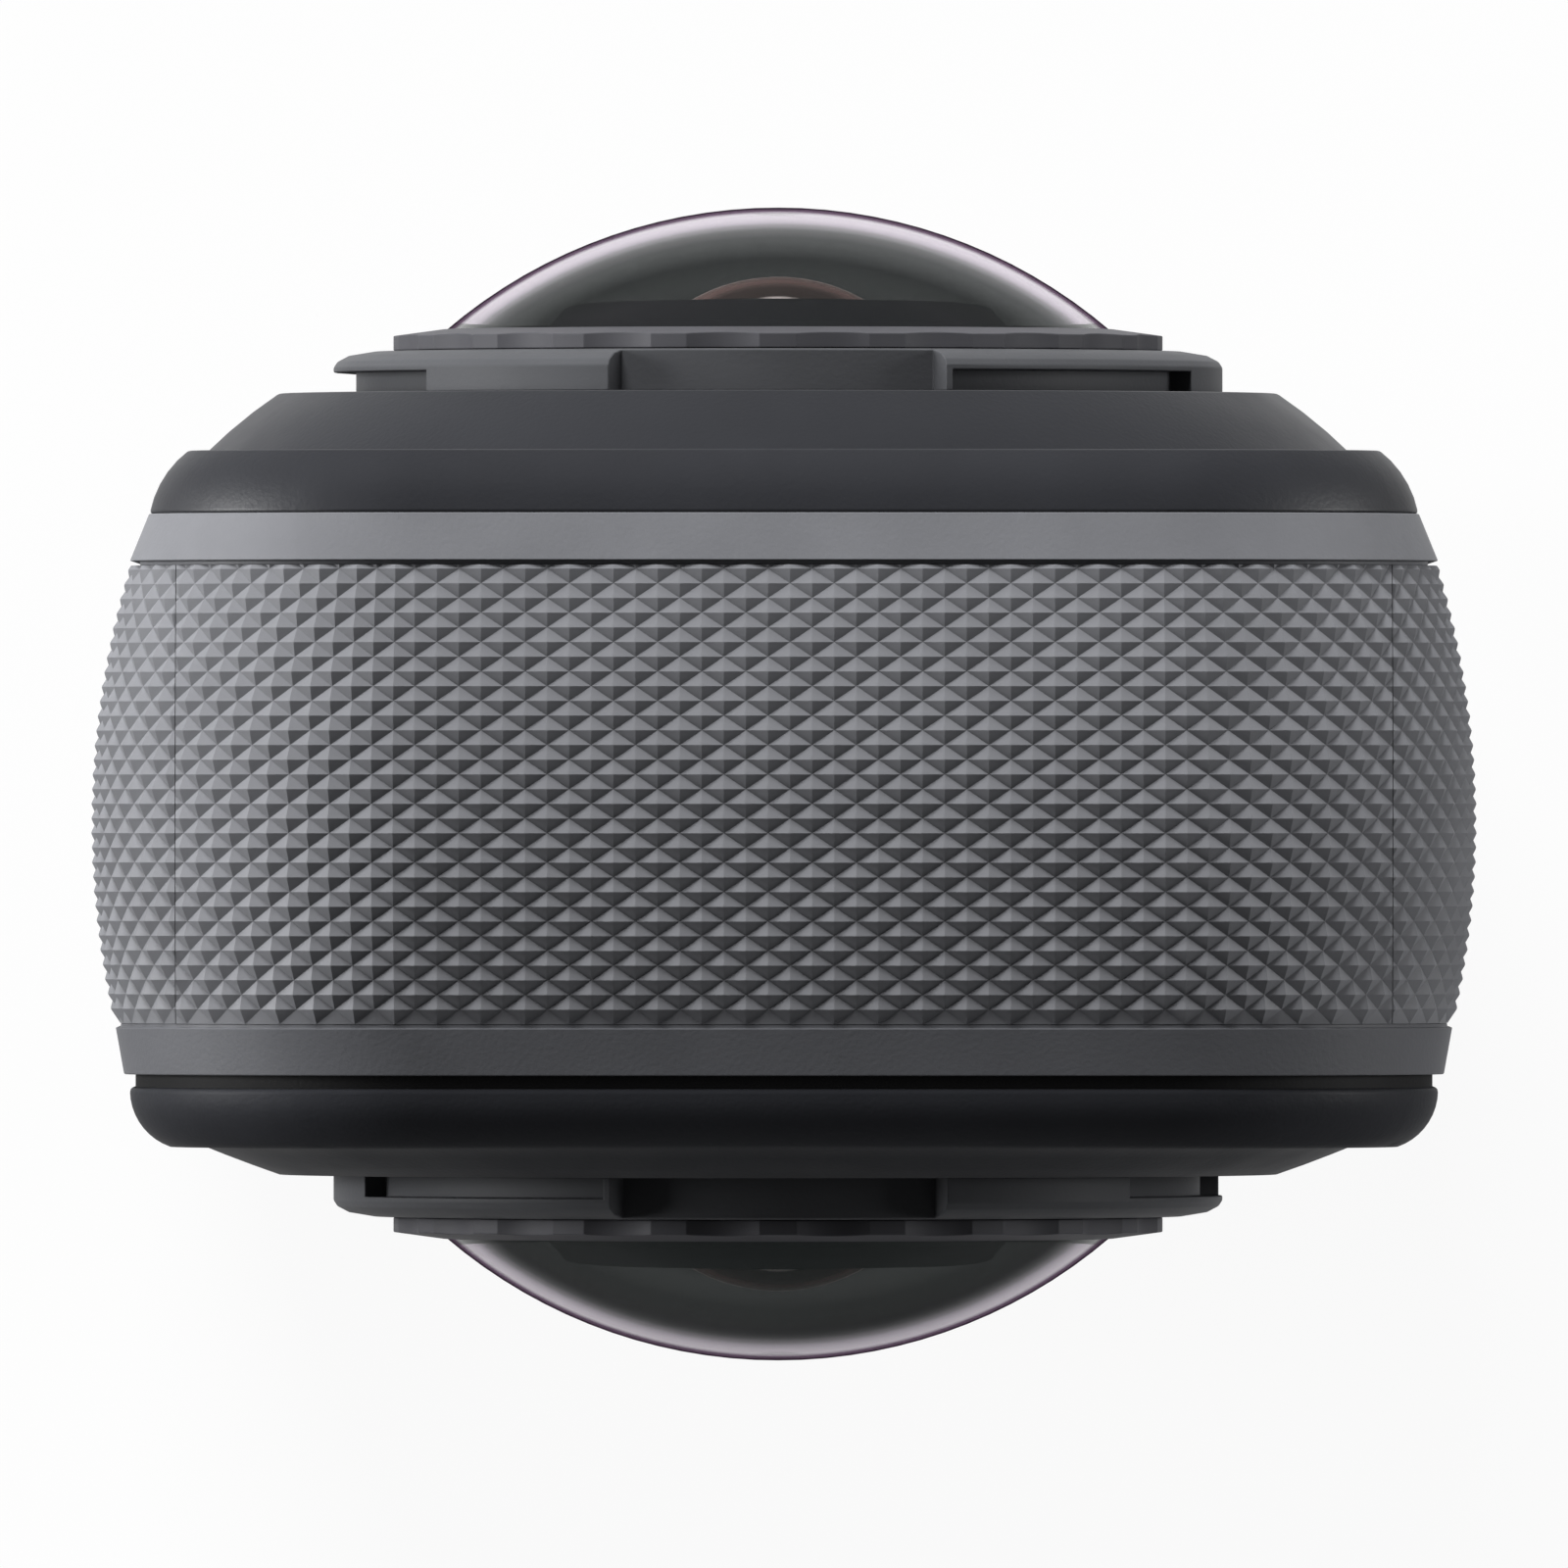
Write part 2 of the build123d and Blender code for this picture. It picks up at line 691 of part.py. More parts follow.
with BuildPart() as front_cover:
    with BuildSketch(Plane.XY.offset(section_z)):
        with BuildLine():
            SagittaArc((front_face_w, front_face_y), (front_edge_w, front_seam_y + seam_chamfer),
                       front_edge_bulge)
            Polyline(
                (front_edge_w, front_seam_y + seam_chamfer),
                (front_edge_w - seam_chamfer, front_seam_y),
                (front_skirt_w, front_seam_y),
                (front_skirt_w, front_face_y),
                (front_face_w, front_face_y),
            )
        make_face()
    sweep(path=outline)
    add_plate(front_face_w, front_face_y - cover_wall, front_face_y)
    add_ring(
        (frame_inner_w - bond_gap, front_face_y - cover_wall),
        (frame_inner_w - bond_gap, front_seam_y - cover_lip_length),
        (frame_inner_w - bond_gap - cover_lip, front_seam_y - cover_lip_length),
        (frame_inner_w - bond_gap - cover_lip, front_face_y - cover_wall),
    )
    add_mound(1, front_mound_height, front_mound_radius, front_mound_bulge)
    with BuildSketch(at_depth(front_face_y + overrun)):
        with Locations((0, light_z)):
            SlotOverall(light_length + 2 * bond_gap, light_width + 2 * bond_gap)
        with Locations(*mic_places):
            Circle(mic_hole_radius)
    extrude(amount=cover_wall + 2 * overrun, mode=Mode.SUBTRACT)
save(front_cover, "front_cover")

screen_foot = 21.0  # flat foot up to the glass
screen_head_gap = 2.15  # glass up to the rear mound
screen_side_gap = 2.35
window_rim = 1.5  # ledge that the glass is glued to
glass_corner_radius = 2.0
shutter_z = 11.8
shutter_spread = 8.5
shutter_length = 12.0
shutter_width = 6.5

screen_width = 2 * (rear_face_w - screen_side_gap)
screen_height = lens_z - rear_mound_radius - screen_head_gap - screen_foot
screen_z = screen_foot + screen_height / 2
shutter_places = [(-shutter_spread, shutter_z), (shutter_spread, shutter_z)]

with BuildPart() as rear_cover:
    with BuildSketch(Plane.XY.offset(section_z)):
        with BuildLine():
            SagittaArc((rear_face_w, rear_face_y), (rear_edge_w, rear_cover_y - rear_edge_roll),
                       -rear_edge_bulge)
            Polyline(
                (rear_edge_w, rear_cover_y - rear_edge_roll),
                (rear_edge_w - seam_chamfer, rear_cover_y),
                (rear_skirt_w, rear_cover_y),
                (rear_skirt_w, rear_face_y),
                (rear_face_w, rear_face_y),
            )
        make_face()
    sweep(path=outline)
    add_plate(rear_face_w, rear_face_y + cover_wall, rear_face_y)
    add_ring(
        (frame_inner_w - bond_gap, rear_face_y + cover_wall),
        (frame_inner_w - bond_gap, rear_seam_y + cover_lip_length),
        (frame_inner_w - bond_gap - cover_lip, rear_seam_y + cover_lip_length),
        (frame_inner_w - bond_gap - cover_lip, rear_face_y + cover_wall),
    )
    add_mound(-1, rear_mound_height, rear_mound_radius, rear_mound_bulge)
    # recess for the glass and the window under it
    with BuildSketch(at_depth(glass_back_y)):
        with Locations((0, screen_z)):
            RectangleRounded(screen_width + 2 * bond_gap, screen_height + 2 * bond_gap, glass_corner_radius)
    extrude(amount=screen_thickness + overrun, mode=Mode.SUBTRACT)
    with BuildSketch(at_depth(rear_face_y + cover_wall + overrun)):
        with Locations((0, screen_z)):
            Rectangle(screen_width - 2 * window_rim, screen_height - 2 * window_rim)
        with Locations(*shutter_places):
            SlotOverall(shutter_length + 2 * part_gap, shutter_width + 2 * part_gap)
    extrude(amount=cover_wall + 2 * overrun, mode=Mode.SUBTRACT)
save(rear_cover, "rear_cover")

# Seals between covers and frame
rear_gasket_setback = 1.5

rear_gasket_w = half_width - rear_gasket_setback

with BuildPart() as front_gasket:
    with BuildSketch(Plane.XY.offset(section_z)):
        with Locations((front_gasket_w, front_seam_y)):
            Rectangle(
                front_gasket_width - 2 * bond_gap, front_gasket_thickness, align=(Align.CENTER, Align.MAX)
            )
    sweep(path=outline)
save(front_gasket, "front_gasket")

with BuildPart() as rear_gasket:
    add_ring(
        (rear_skirt_w, rear_cover_y),
        (rear_gasket_w, rear_cover_y),
        (rear_gasket_w, rear_seam_y),
        (rear_skirt_w, rear_seam_y),
    )
save(rear_gasket, "rear_gasket")

# Foot: base plate, tripod bush and screws
base_gap = 0.1
base_corner_radius = 1.0
base_screw_head_radius = 1.5
base_screw_head_height = 0.7
locating_slot_inset = 5.6
locating_slot_length = 3.0
locating_slot_width = 1.6
insert_bore_length = 7.0
insert_mouth_chamfer = 0.3
recess_length_share = 0.62  # cross recess across a screw head
recess_width_share = 0.2
recess_depth_share = 0.6
locating_slot_x = base_half_width - locating_slot_inset
base_depth = grip_front_y - grip_back_y - 2 * base_gap


def facing(x, y, z, direction):
    """Plane at a point whose normal is the given direction."""
    return Plane(origin=(x, y, z), z_dir=direction)


def add_screw(plane, head_radius, head_height, shaft_radius, shaft_length, flat=False):
    """Add a screw whose head faces the plane's normal, flat with it or standing on it."""
    section_plane = Plane(origin=plane.origin, x_dir=plane.x_dir, z_dir=plane.x_dir.cross(plane.z_dir))
    head_top = 0 if flat else head_height
    head_foot = -head_height if flat else 0
    rim_foot = 0 if flat else head_foot
    with BuildSketch(section_plane) as section:
        with BuildLine():
            if flat:
                Polyline((0, 0), (head_radius, 0), (shaft_radius, head_foot))
            else:
                Polyline((0, head_top), (head_radius, head_top), (head_radius, rim_foot), (shaft_radius, 0))
            Polyline((shaft_radius, head_foot), (shaft_radius, -shaft_length), (0, -shaft_length),
                     (0, head_top))
        make_face()
    revolve(section.sketch, axis=Axis(plane.origin, plane.z_dir))
    with BuildSketch(plane.offset(head_top)) as cross:
        Rectangle(2 * head_radius * recess_length_share, 2 * head_radius * recess_width_share)
        Rectangle(2 * head_radius * recess_width_share, 2 * head_radius * recess_length_share)
    extrude(cross.sketch, amount=-head_height * recess_depth_share, mode=Mode.SUBTRACT)


base_screw_planes = [facing(x, y, 0, (0, 0, -1)) for x, y in base_screw_places]

with BuildPart() as base_plate:
    with BuildSketch(Plane.XY):
        with Locations((0, base_y)):
            RectangleRounded(2 * base_half_width, base_depth, base_corner_radius)
        with Locations((0, base_y)):
            Circle(insert_radius + bond_gap, mode=Mode.SUBTRACT)
        with Locations((-locating_slot_x, base_y), (locating_slot_x, base_y)):
            SlotOverall(locating_slot_length, locating_slot_width, mode=Mode.SUBTRACT)
    extrude(amount=frame_foot_z)
    with Locations(*base_screw_planes):
        CounterSinkHole(
            base_screw_radius + bond_gap, base_screw_head_radius + bond_gap, depth=2 * frame_foot_z
        )
save(base_plate, "base_plate")

with BuildPart() as tripod_insert:
    with BuildSketch(Plane.XY):
        with Locations((0, base_y)):
            Circle(insert_radius)
    extrude(amount=insert_length)
    with BuildSketch(Plane.XY):
        with Locations((0, base_y)):
            Circle(insert_bore_radius)
    extrude(amount=insert_bore_length, mode=Mode.SUBTRACT)
    mouth = tripod_insert.edges().filter_by(GeomType.CIRCLE).group_by(Axis.Z)[0]
    chamfer(mouth, insert_mouth_chamfer)
save(tripod_insert, "tripod_insert")

with BuildPart() as base_screws:
    for plane in base_screw_planes:
        add_screw(
            plane, base_screw_head_radius, base_screw_head_height, base_screw_radius, base_screw_length, True
        )
save(base_screws, "base_screws")

# Lens assemblies, the same on both sides
dome_radius = 17.05
dome_sink = 0.0639  # top of the ring down to the dome's edge
dome_wall = 0.7
dome_seat_drop = 0.99  # top of the ring down to the ledge under the dome
dome_land = 0.8  # width of the dome's ground foot

seat_flange_foot = 0.70  # mound up to the underside of the bayonet flange
seat_shoulder_drop = 0.14
seat_corner_drop = 0.34
seat_edge_drop = 0.54
seat_spigot_length = 1.44
bayonet_count = 3
block_turn = -22.2  # degrees from straight up to the start of a low block
block_arc = 44.3
recess_turn = 23.0
recess_arc = 45.0

lug_arc = 18.0
lug_turn = 51.0
lug_reach = 0.43
lug_height = 0.5
lug_drop = 0.44  # mound down to the lug's foot
lug_room = 0.1
lug_room_arc = 1.0
twist_arc = 25.0

scallop_count = 22
scallop_depth = 0.3
scallop_radius = 3.2

flange_overhang = 1.6  # middle of a post out to the rim of the flange
barrel_neck_length = 1.4
barrel_bore_margin = 3.4
sensor_room_margin = 1.0
sensor_room_gap = 1.3
sensor_board_size = 16.0
sensor_board_thickness = 0.8
sensor_width = 11.5
sensor_height = 9.0
sensor_thickness = 1.0
barrel_screw_head_radius = 1.15
barrel_screw_head_height = 0.5
lens_seal_margin = 0.4
lens_seal_gap = 0.15

baffle_foot_setback = 0.6
baffle_rim_height = 0.8
baffle_cone_height = 0.99
baffle_bevel_height = 0.67
baffle_step_height = 0.16
baffle_throat_setback = 0.45
baffle_throat_height = 0.6
baffle_seat_height = 0.6

front_element_curve = 5.8
front_element_height = 0.94  # top of the baffle up to the front element's apex
first_element_drop = 1.2
element_pitch = 4.6
element_thickness = 2.8
element_edge = 1.0  # thickness of those elements at their rim

dome_inner_radius = dome_radius - dome_wall
dome_land_radius = dome_edge_radius - dome_land
dome_seat_rise = ring_top_rise - dome_seat_drop
flange_radius = barrel_post_circle + flange_overhang
barrel_top_rise = barrel_neck_length - ring_foot_drop
barrel_bore_radius = barrel_radius - barrel_bore_margin
sensor_room_radius = barrel_radius - sensor_room_margin
sensor_front = lens_plate_thickness / 2 + sensor_board_thickness  # middle plane to the sensor board
sensor_room_depth = sensor_front + sensor_thickness + sensor_room_gap
baffle_rim_rise = barrel_top_rise + baffle_rim_height
baffle_cone_rise = baffle_rim_rise + baffle_cone_height
baffle_shelf_rise = baffle_cone_rise + baffle_bevel_height
baffle_step_rise = baffle_shelf_rise + baffle_step_height
baffle_throat_rise = barrel_top_rise + baffle_throat_height
baffle_seat_rise = baffle_throat_rise + baffle_seat_height
front_element_apex = baffle_step_rise + front_element_height
element_tops = [barrel_top_rise - first_element_drop, barrel_top_rise - first_element_drop - element_pitch]
lens_seal_inner_radius = ring_throat_radius + lens_seal_margin
lens_seal_outer_radius = ring_stem_radius - lens_seal_gap


def rise(curve, r):
    """Height of a sphere of radius curve above its middle, at distance r from its axis."""
    return (curve**2 - r**2) ** 0.5


def lens_sector(side, turn, arc, inner_radius, outer_radius, foot_depth, top_depth, mode):
    """Add or cut a part of a ring round a lens axis."""
    with BuildSketch(lens_plane(side, turn)) as sector:
        with Locations((inner_radius, foot_depth)):
            Rectangle(outer_radius - inner_radius, top_depth - foot_depth, align=Align.MIN)
    revolve(sector.sketch, axis=lens_axis(side), revolution_arc=arc, mode=mode)


def revolve_lens(side, *points):
    """Turn a straight-sided profile round a lens axis."""
    with BuildSketch(lens_plane(side)) as profile:
        with BuildLine():
            Polyline(*points, close=True)
        make_face()
    revolve(profile.sketch, axis=lens_axis(side))


def barrel_screw_planes(side):
    """Planes of the three screws that hold one lens barrel, facing out of the body."""
    depth = side * (mound_depths[side] - flange_top_drop)
    return [facing(x, depth, z, (0, side, 0)) for x, z in barrel_post_places(side)]


bayonet_turns = [n * 360 / bayonet_count for n in range(bayonet_count)]
dome_foot_rise = ring_top_rise - dome_sink
dome_centre = dome_foot_rise - rise(dome_radius, dome_edge_radius)
dome_apex = dome_centre + dome_radius

for side, end in ((1, "front"), (-1, "rear")):
    with BuildPart() as bayonet_seat:
        revolve_lens(
            side,
            (seat_bore_radius, seat_height),
            (seat_top_radius, seat_height),
            (seat_shoulder_radius, seat_height - seat_shoulder_drop),
            (seat_corner_radius, seat_height - seat_corner_drop),
            (seat_flange_radius, seat_height - seat_edge_drop),
            (seat_flange_radius, 0),
            (seat_spigot_radius, 0),
            (seat_spigot_radius, -seat_spigot_length),
            (seat_bore_radius, -seat_spigot_length),
        )
        for turn in bayonet_turns:
            lens_sector(side, turn + block_turn, block_arc, seat_block_radius, mound_top_radius,
                        0, seat_height + overrun, Mode.SUBTRACT)
            lens_sector(side, turn + recess_turn, recess_arc, seat_neck_radius, mound_top_radius,
                        0, seat_flange_foot, Mode.SUBTRACT)
            lens_sector(side, turn + lug_turn, lug_arc, seat_bore_radius - lug_reach,
                        seat_bore_radius + bond_gap, -lug_drop, lug_height - lug_drop, Mode.ADD)
    save(bayonet_seat, f"{end}_bayonet_seat")

    with BuildPart() as lens_ring:
        revolve_lens(
            side,
            (ring_bore_radius, ring_top_rise),
            (ring_edge_radius, ring_edge_rise),
            (ring_edge_radius, ring_collar_rise),
            (ring_stem_radius, ring_collar_rise),
            (ring_stem_radius, -ring_foot_drop),
            (ring_throat_radius, -ring_foot_drop),
            (ring_throat_radius, dome_seat_rise),
            (ring_bore_radius, dome_seat_rise),
        )
        # finger scallops round the collar
        with BuildSketch(at_depth(side * (mound_depths[side] + ring_collar_rise))):
            with Locations((lens_x, lens_z)):
                with PolarLocations(
                    ring_edge_radius - scallop_depth + scallop_radius,
                    scallop_count,
                    start_angle=90 + 180 / scallop_count,
                ):
                    Circle(scallop_radius)
        extrude(amount=-side * overrun, mode=Mode.SUBTRACT)
        # grooves that take the seat's lugs: a way in from below, then a turn
        groove_floor = seat_bore_radius - lug_reach - lug_room
        groove_top = lug_height + lug_room - lug_drop
        for turn in bayonet_turns:
            way_in = turn + lug_turn - twist_arc - lug_room_arc
            lens_sector(side, way_in, lug_arc + 2 * lug_room_arc, groove_floor, seat_bore_radius,
                        -ring_foot_drop - overrun, groove_top, Mode.SUBTRACT)
            lens_sector(side, way_in, lug_arc + twist_arc + 2 * lug_room_arc, groove_floor,
                        seat_bore_radius, -lug_drop - lug_room, groove_top, Mode.SUBTRACT)
    save(lens_ring, f"{end}_lens_ring")

    with BuildPart() as lens_dome:
        outer_half = (dome_edge_radius / 2, dome_centre + rise(dome_radius, dome_edge_radius / 2))
        inner_foot = (dome_land_radius, dome_centre + rise(dome_inner_radius, dome_land_radius))
        inner_half = (dome_land_radius / 2, dome_centre + rise(dome_inner_radius, dome_land_radius / 2))
        with BuildSketch(lens_plane(side)):
            with BuildLine():
                ThreePointArc((0, dome_apex), outer_half, (dome_edge_radius, dome_foot_rise))
                Polyline(
                    (dome_edge_radius, dome_foot_rise),
                    (dome_edge_radius, dome_seat_rise),
                    (dome_land_radius, dome_seat_rise),
                    inner_foot,
                )
                ThreePointArc(inner_foot, inner_half, (0, dome_apex - dome_wall))
                Line((0, dome_apex - dome_wall), (0, dome_apex))
            make_face()
        revolve(axis=lens_axis(side))
    save(lens_dome, f"{end}_lens_dome")

    with BuildPart() as lens_seal:
        revolve_lens(
            side,
            (lens_seal_inner_radius, -flange_top_drop),
            (lens_seal_outer_radius, -flange_top_drop),
            (lens_seal_outer_radius, -ring_foot_drop),
            (lens_seal_inner_radius, -ring_foot_drop),
        )
    save(lens_seal, f"{end}_lens_seal")

    with BuildPart() as lens_barrel:
        foot_rise = sensor_front - mound_depths[side]
        room_rise = sensor_room_depth - mound_depths[side]
        revolve_lens(
            side,
            (sensor_room_radius, foot_rise),
            (barrel_radius, foot_rise),
            (barrel_radius, -flange_foot_drop),
            (flange_radius, -flange_foot_drop),
            (flange_radius, -flange_top_drop),
            (barrel_neck_radius, -flange_top_drop),
            (barrel_neck_radius, barrel_top_rise),
            (barrel_bore_radius, barrel_top_rise),
            (barrel_bore_radius, room_rise),
            (sensor_room_radius, room_rise),
        )
        with Locations(*barrel_screw_planes(side)):
            CounterSinkHole(
                barrel_screw_radius + bond_gap,
                barrel_screw_head_radius + bond_gap,
                depth=2 * flange_thickness,
            )
    save(lens_barrel, f"{end}_lens_barrel")

    with BuildPart() as lens_baffle:
        revolve_lens(
            side,
            (barrel_bore_radius - baffle_foot_setback, barrel_top_rise),
            (baffle_radius, barrel_top_rise),
            (baffle_radius, baffle_rim_rise),
            (baffle_cone_radius, baffle_cone_rise),
            (baffle_shelf_radius, baffle_shelf_rise),
            (baffle_step_radius, baffle_shelf_rise),
            (baffle_step_radius, baffle_step_rise),
            (front_element_radius + bond_gap, baffle_step_rise),
            (front_element_radius + bond_gap, baffle_seat_rise),
            (front_element_radius - baffle_throat_setback, baffle_seat_rise),
            (front_element_radius - baffle_throat_setback, baffle_throat_rise),
        )
    save(lens_baffle, f"{end}_lens_baffle")

    with BuildPart() as inner_elements:
        centre = front_element_apex - front_element_curve
        rim = (front_element_radius, centre + rise(front_element_curve, front_element_radius))
        half = (front_element_radius / 2, centre + rise(front_element_curve, front_element_radius / 2))
        with BuildSketch(lens_plane(side)):
            with BuildLine():
                ThreePointArc((0, front_element_apex), half, rim)
                Polyline(
                    rim,
                    (front_element_radius, baffle_seat_rise),
                    (0, baffle_seat_rise),
                    (0, front_element_apex),
                )
            make_face()
        revolve(axis=lens_axis(side))
        for top in element_tops:
            rim_radius = barrel_bore_radius - bond_gap
            bulge = (element_thickness - element_edge) / 2
            foot = top - element_thickness
            with BuildSketch(lens_plane(side)):
                with BuildLine():
                    TangentArc((0, top), (rim_radius, top - bulge), tangent=(1, 0))
                    Line((rim_radius, top - bulge), (rim_radius, foot + bulge))
                    TangentArc((0, foot), (rim_radius, foot + bulge), tangent=(1, 0))
                    Line((0, foot), (0, top))
                make_face()
            revolve(axis=lens_axis(side))
    save(inner_elements, f"{end}_inner_elements")

    with BuildPart() as image_sensor:
        with BuildSketch(at_depth(side * lens_plate_thickness / 2)):
            with Locations((lens_x, lens_z)):
                Rectangle(sensor_board_size, sensor_board_size)
        extrude(amount=-side * sensor_board_thickness)
        with BuildSketch(at_depth(side * sensor_front)):
            with Locations((lens_x, lens_z)):
                Rectangle(sensor_width, sensor_height)
        extrude(amount=-side * sensor_thickness)
    save(image_sensor, f"{end}_image_sensor")

with BuildPart() as barrel_screws:
    for side in (1, -1):
        for plane in barrel_screw_planes(side):
            add_screw(
                plane,
                barrel_screw_head_radius,
                barrel_screw_head_height,
                barrel_screw_radius,
                flange_thickness + barrel_screw_length - bond_gap,
                True,
            )
save(barrel_screws, "barrel_screws")

# Boards and what is on them
board_screw_head_radius = 1.0
board_screw_head_height = 0.5
can_width = 24.0
can_inset = 10.5  # ends of the battery to the ends of the shield can
can_wall = 0.2
can_rise = 1.0  # middle of the battery up to the middle of the shield can
spreader_width = 20.0
spreader_inset = 9.5
spreader_x = -2.0
display_room = 0.3
switch_size = 3.2
side_switch_height = 1.5
shutter_switch_height = 1.0
plunger_radius = 0.7
plunger_height = 0.2
side_board_width = 7.0
side_board_thickness = 0.8

can_z = battery_z + can_rise
side_board_x = frame_inner_w - side_switch_reach
side_board_z = (power_button_z + quick_button_z) / 2
side_board_height = power_button_z - quick_button_z + 2 * side_board_end

with BuildPart() as main_board:
    with BuildSketch(at_depth(board_front_y)):
        with Locations((0, (board_foot_z + board_head_z) / 2)):
            Rectangle(2 * board_half_width, board_head_z - board_foot_z)
        with Locations(*board_post_places):
            Circle(board_screw_radius + bond_gap, mode=Mode.SUBTRACT)
    extrude(amount=board_thickness)
save(main_board, "main_board")

with BuildPart() as board_screws:
    for x, z in board_post_places:
        add_screw(
            facing(x, board_back_y, z, (0, -1, 0)),
            board_screw_head_radius,
            board_screw_head_height,
            board_screw_radius,
            board_screw_length,
        )
save(board_screws, "board_screws")

with BuildPart() as shield_can:
    with BuildSketch(at_depth(board_back_y)):
        with Locations((0, can_z)):
            Rectangle(can_width, battery_height - 2 * can_inset)
    extrude(amount=can_depth)
    offset(amount=-can_wall, openings=shield_can.faces().sort_by(Axis.Y)[-1])
save(shield_can, "shield_can")

with BuildPart() as heat_spreader:
    with BuildSketch(at_depth(bay_back_y)):
        with Locations((spreader_x, can_z)):
            Rectangle(spreader_width, battery_height - 2 * spreader_inset)
    extrude(amount=bay_back_y - board_front_y)
save(heat_spreader, "heat_spreader")

with BuildPart() as display_module:
    with BuildSketch(at_depth(display_front_y)):
        with Locations((0, screen_z)):
            Rectangle(
                screen_width - 2 * window_rim - 2 * display_room,
                screen_height - 2 * window_rim - 2 * display_room,
            )
    extrude(amount=display_thickness)
save(display_module, "display_module")

with BuildPart() as screen_glass:
    with BuildSketch(at_depth(glass_back_y)):
        with Locations((0, screen_z)):
            RectangleRounded(screen_width, screen_height, glass_corner_radius)
    extrude(amount=screen_thickness)
save(screen_glass, "screen_glass")

with BuildPart() as side_board:
    with BuildSketch(at_side(side_board_x)):
        with Locations((battery_y, side_board_z)):
            Rectangle(side_board_width, side_board_height)
    extrude(amount=-side_board_thickness)
save(side_board, "side_board")

with BuildPart() as tact_switches:
    with BuildSketch(at_side(side_board_x)):
        with Locations(*side_button_places):
            Rectangle(switch_size, switch_size)
    extrude(amount=side_switch_height)
    with BuildSketch(at_side(side_board_x)):
        with Locations(*side_button_places):
            Circle(plunger_radius)
    extrude(amount=side_switch_height + plunger_height)
    with BuildSketch(at_depth(board_back_y)):
        with Locations(*shutter_places):
            Rectangle(switch_size, switch_size)
    extrude(amount=shutter_switch_height)
    with BuildSketch(at_depth(board_back_y)):
        with Locations(*shutter_places):
            Circle(plunger_radius)
    extrude(amount=shutter_switch_height + plunger_height)
save(tact_switches, "tact_switches")

# Sound, light, aerial and sockets
speaker_height = 13.0
speaker_width = 8.0
speaker_thickness = 3.2
mic_length = 3.0
mic_width = 2.0
mic_thickness = 1.0
antenna_length = 20.0
antenna_width = 5.0
antenna_thickness = 0.3
antenna_y = 4.5
usb_wall = 0.3
usb_cavity_length = 6.3
usb_tongue_height = 6.7
usb_tongue_thickness = 0.7
usb_tongue_gap = 0.8  # mouth of the socket back to its tongue

with BuildPart() as speaker:
    with BuildSketch(at_side(frame_inner_w)):
        with Locations((battery_y, speaker_z)):
            Rectangle(speaker_width, speaker_height)
    extrude(amount=-speaker_thickness)
save(speaker, "speaker")

with BuildPart() as microphones:
    with BuildSketch(at_depth(front_face_y - cover_wall)):
        with Locations(*mic_places):
            Rectangle(mic_length, mic_width)
    extrude(amount=mic_thickness)
save(microphones, "microphones")

with BuildPart() as status_light:
    with BuildSketch(at_depth(front_face_y)):
        with Locations((0, light_z)):
            SlotOverall(light_length, light_width)
    extrude(amount=cover_wall)
    with BuildSketch(at_depth(front_face_y - cover_wall)):
        with Locations((0, light_z)):
            SlotOverall(light_length + 2 * light_rim, light_width + 2 * light_rim)
    extrude(amount=light_rim_thickness)
save(status_light, "status_light")

with BuildPart() as antenna:
    with BuildSketch(Plane.XY.offset(lens_z + frame_inner_w)):
        with Locations((0, antenna_y)):
            Rectangle(antenna_length, antenna_width)
    extrude(amount=-antenna_thickness)
save(antenna, "antenna")

with BuildPart() as usb_port:
    with BuildSketch(at_side(-frame_outer_w)):
        with Locations((battery_y, usb_z)):
            RectangleRounded(usb_thickness, usb_height, usb_corner_radius)
    extrude(amount=usb_length)
    with BuildSketch(at_side(-frame_outer_w)):
        with Locations((battery_y, usb_z)):
            RectangleRounded(
                usb_thickness - 2 * usb_wall, usb_height - 2 * usb_wall, usb_corner_radius - usb_wall
            )
    extrude(amount=usb_cavity_length, mode=Mode.SUBTRACT)
    with BuildSketch(at_side(-frame_outer_w + usb_tongue_gap)):
        with Locations((battery_y, usb_z)):
            Rectangle(usb_tongue_thickness, usb_tongue_height)
    extrude(amount=usb_cavity_length - usb_tongue_gap)
save(usb_port, "usb_port")

with BuildPart() as usb_board:
    with BuildSketch(at_side(-frame_inner_w)):
        with Locations((usb_board_y + usb_board_thickness / 2, usb_z)):
            Rectangle(usb_board_thickness, usb_board_height)
    extrude(amount=usb_board_length)
save(usb_board, "usb_board")

with BuildPart() as card_slot:
    with BuildSketch(at_side(-frame_outer_w)):
        with Locations((battery_y, card_z)):
            Rectangle(card_slot_width, card_slot_height)
    extrude(amount=card_slot_length)
    with BuildSketch(at_side(-frame_outer_w)):
        with Locations((battery_y, card_z)):
            Rectangle(card_width + 2 * card_gap, card_thickness + 2 * card_gap)
    extrude(amount=card_length + card_spring_room, mode=Mode.SUBTRACT)
save(card_slot, "card_slot")

with BuildPart() as memory_card:
    with BuildSketch(at_side(-frame_outer_w)):
        with Locations((battery_y, card_z)):
            Rectangle(card_width, card_thickness)
    extrude(amount=card_length)
save(memory_card, "memory_card")

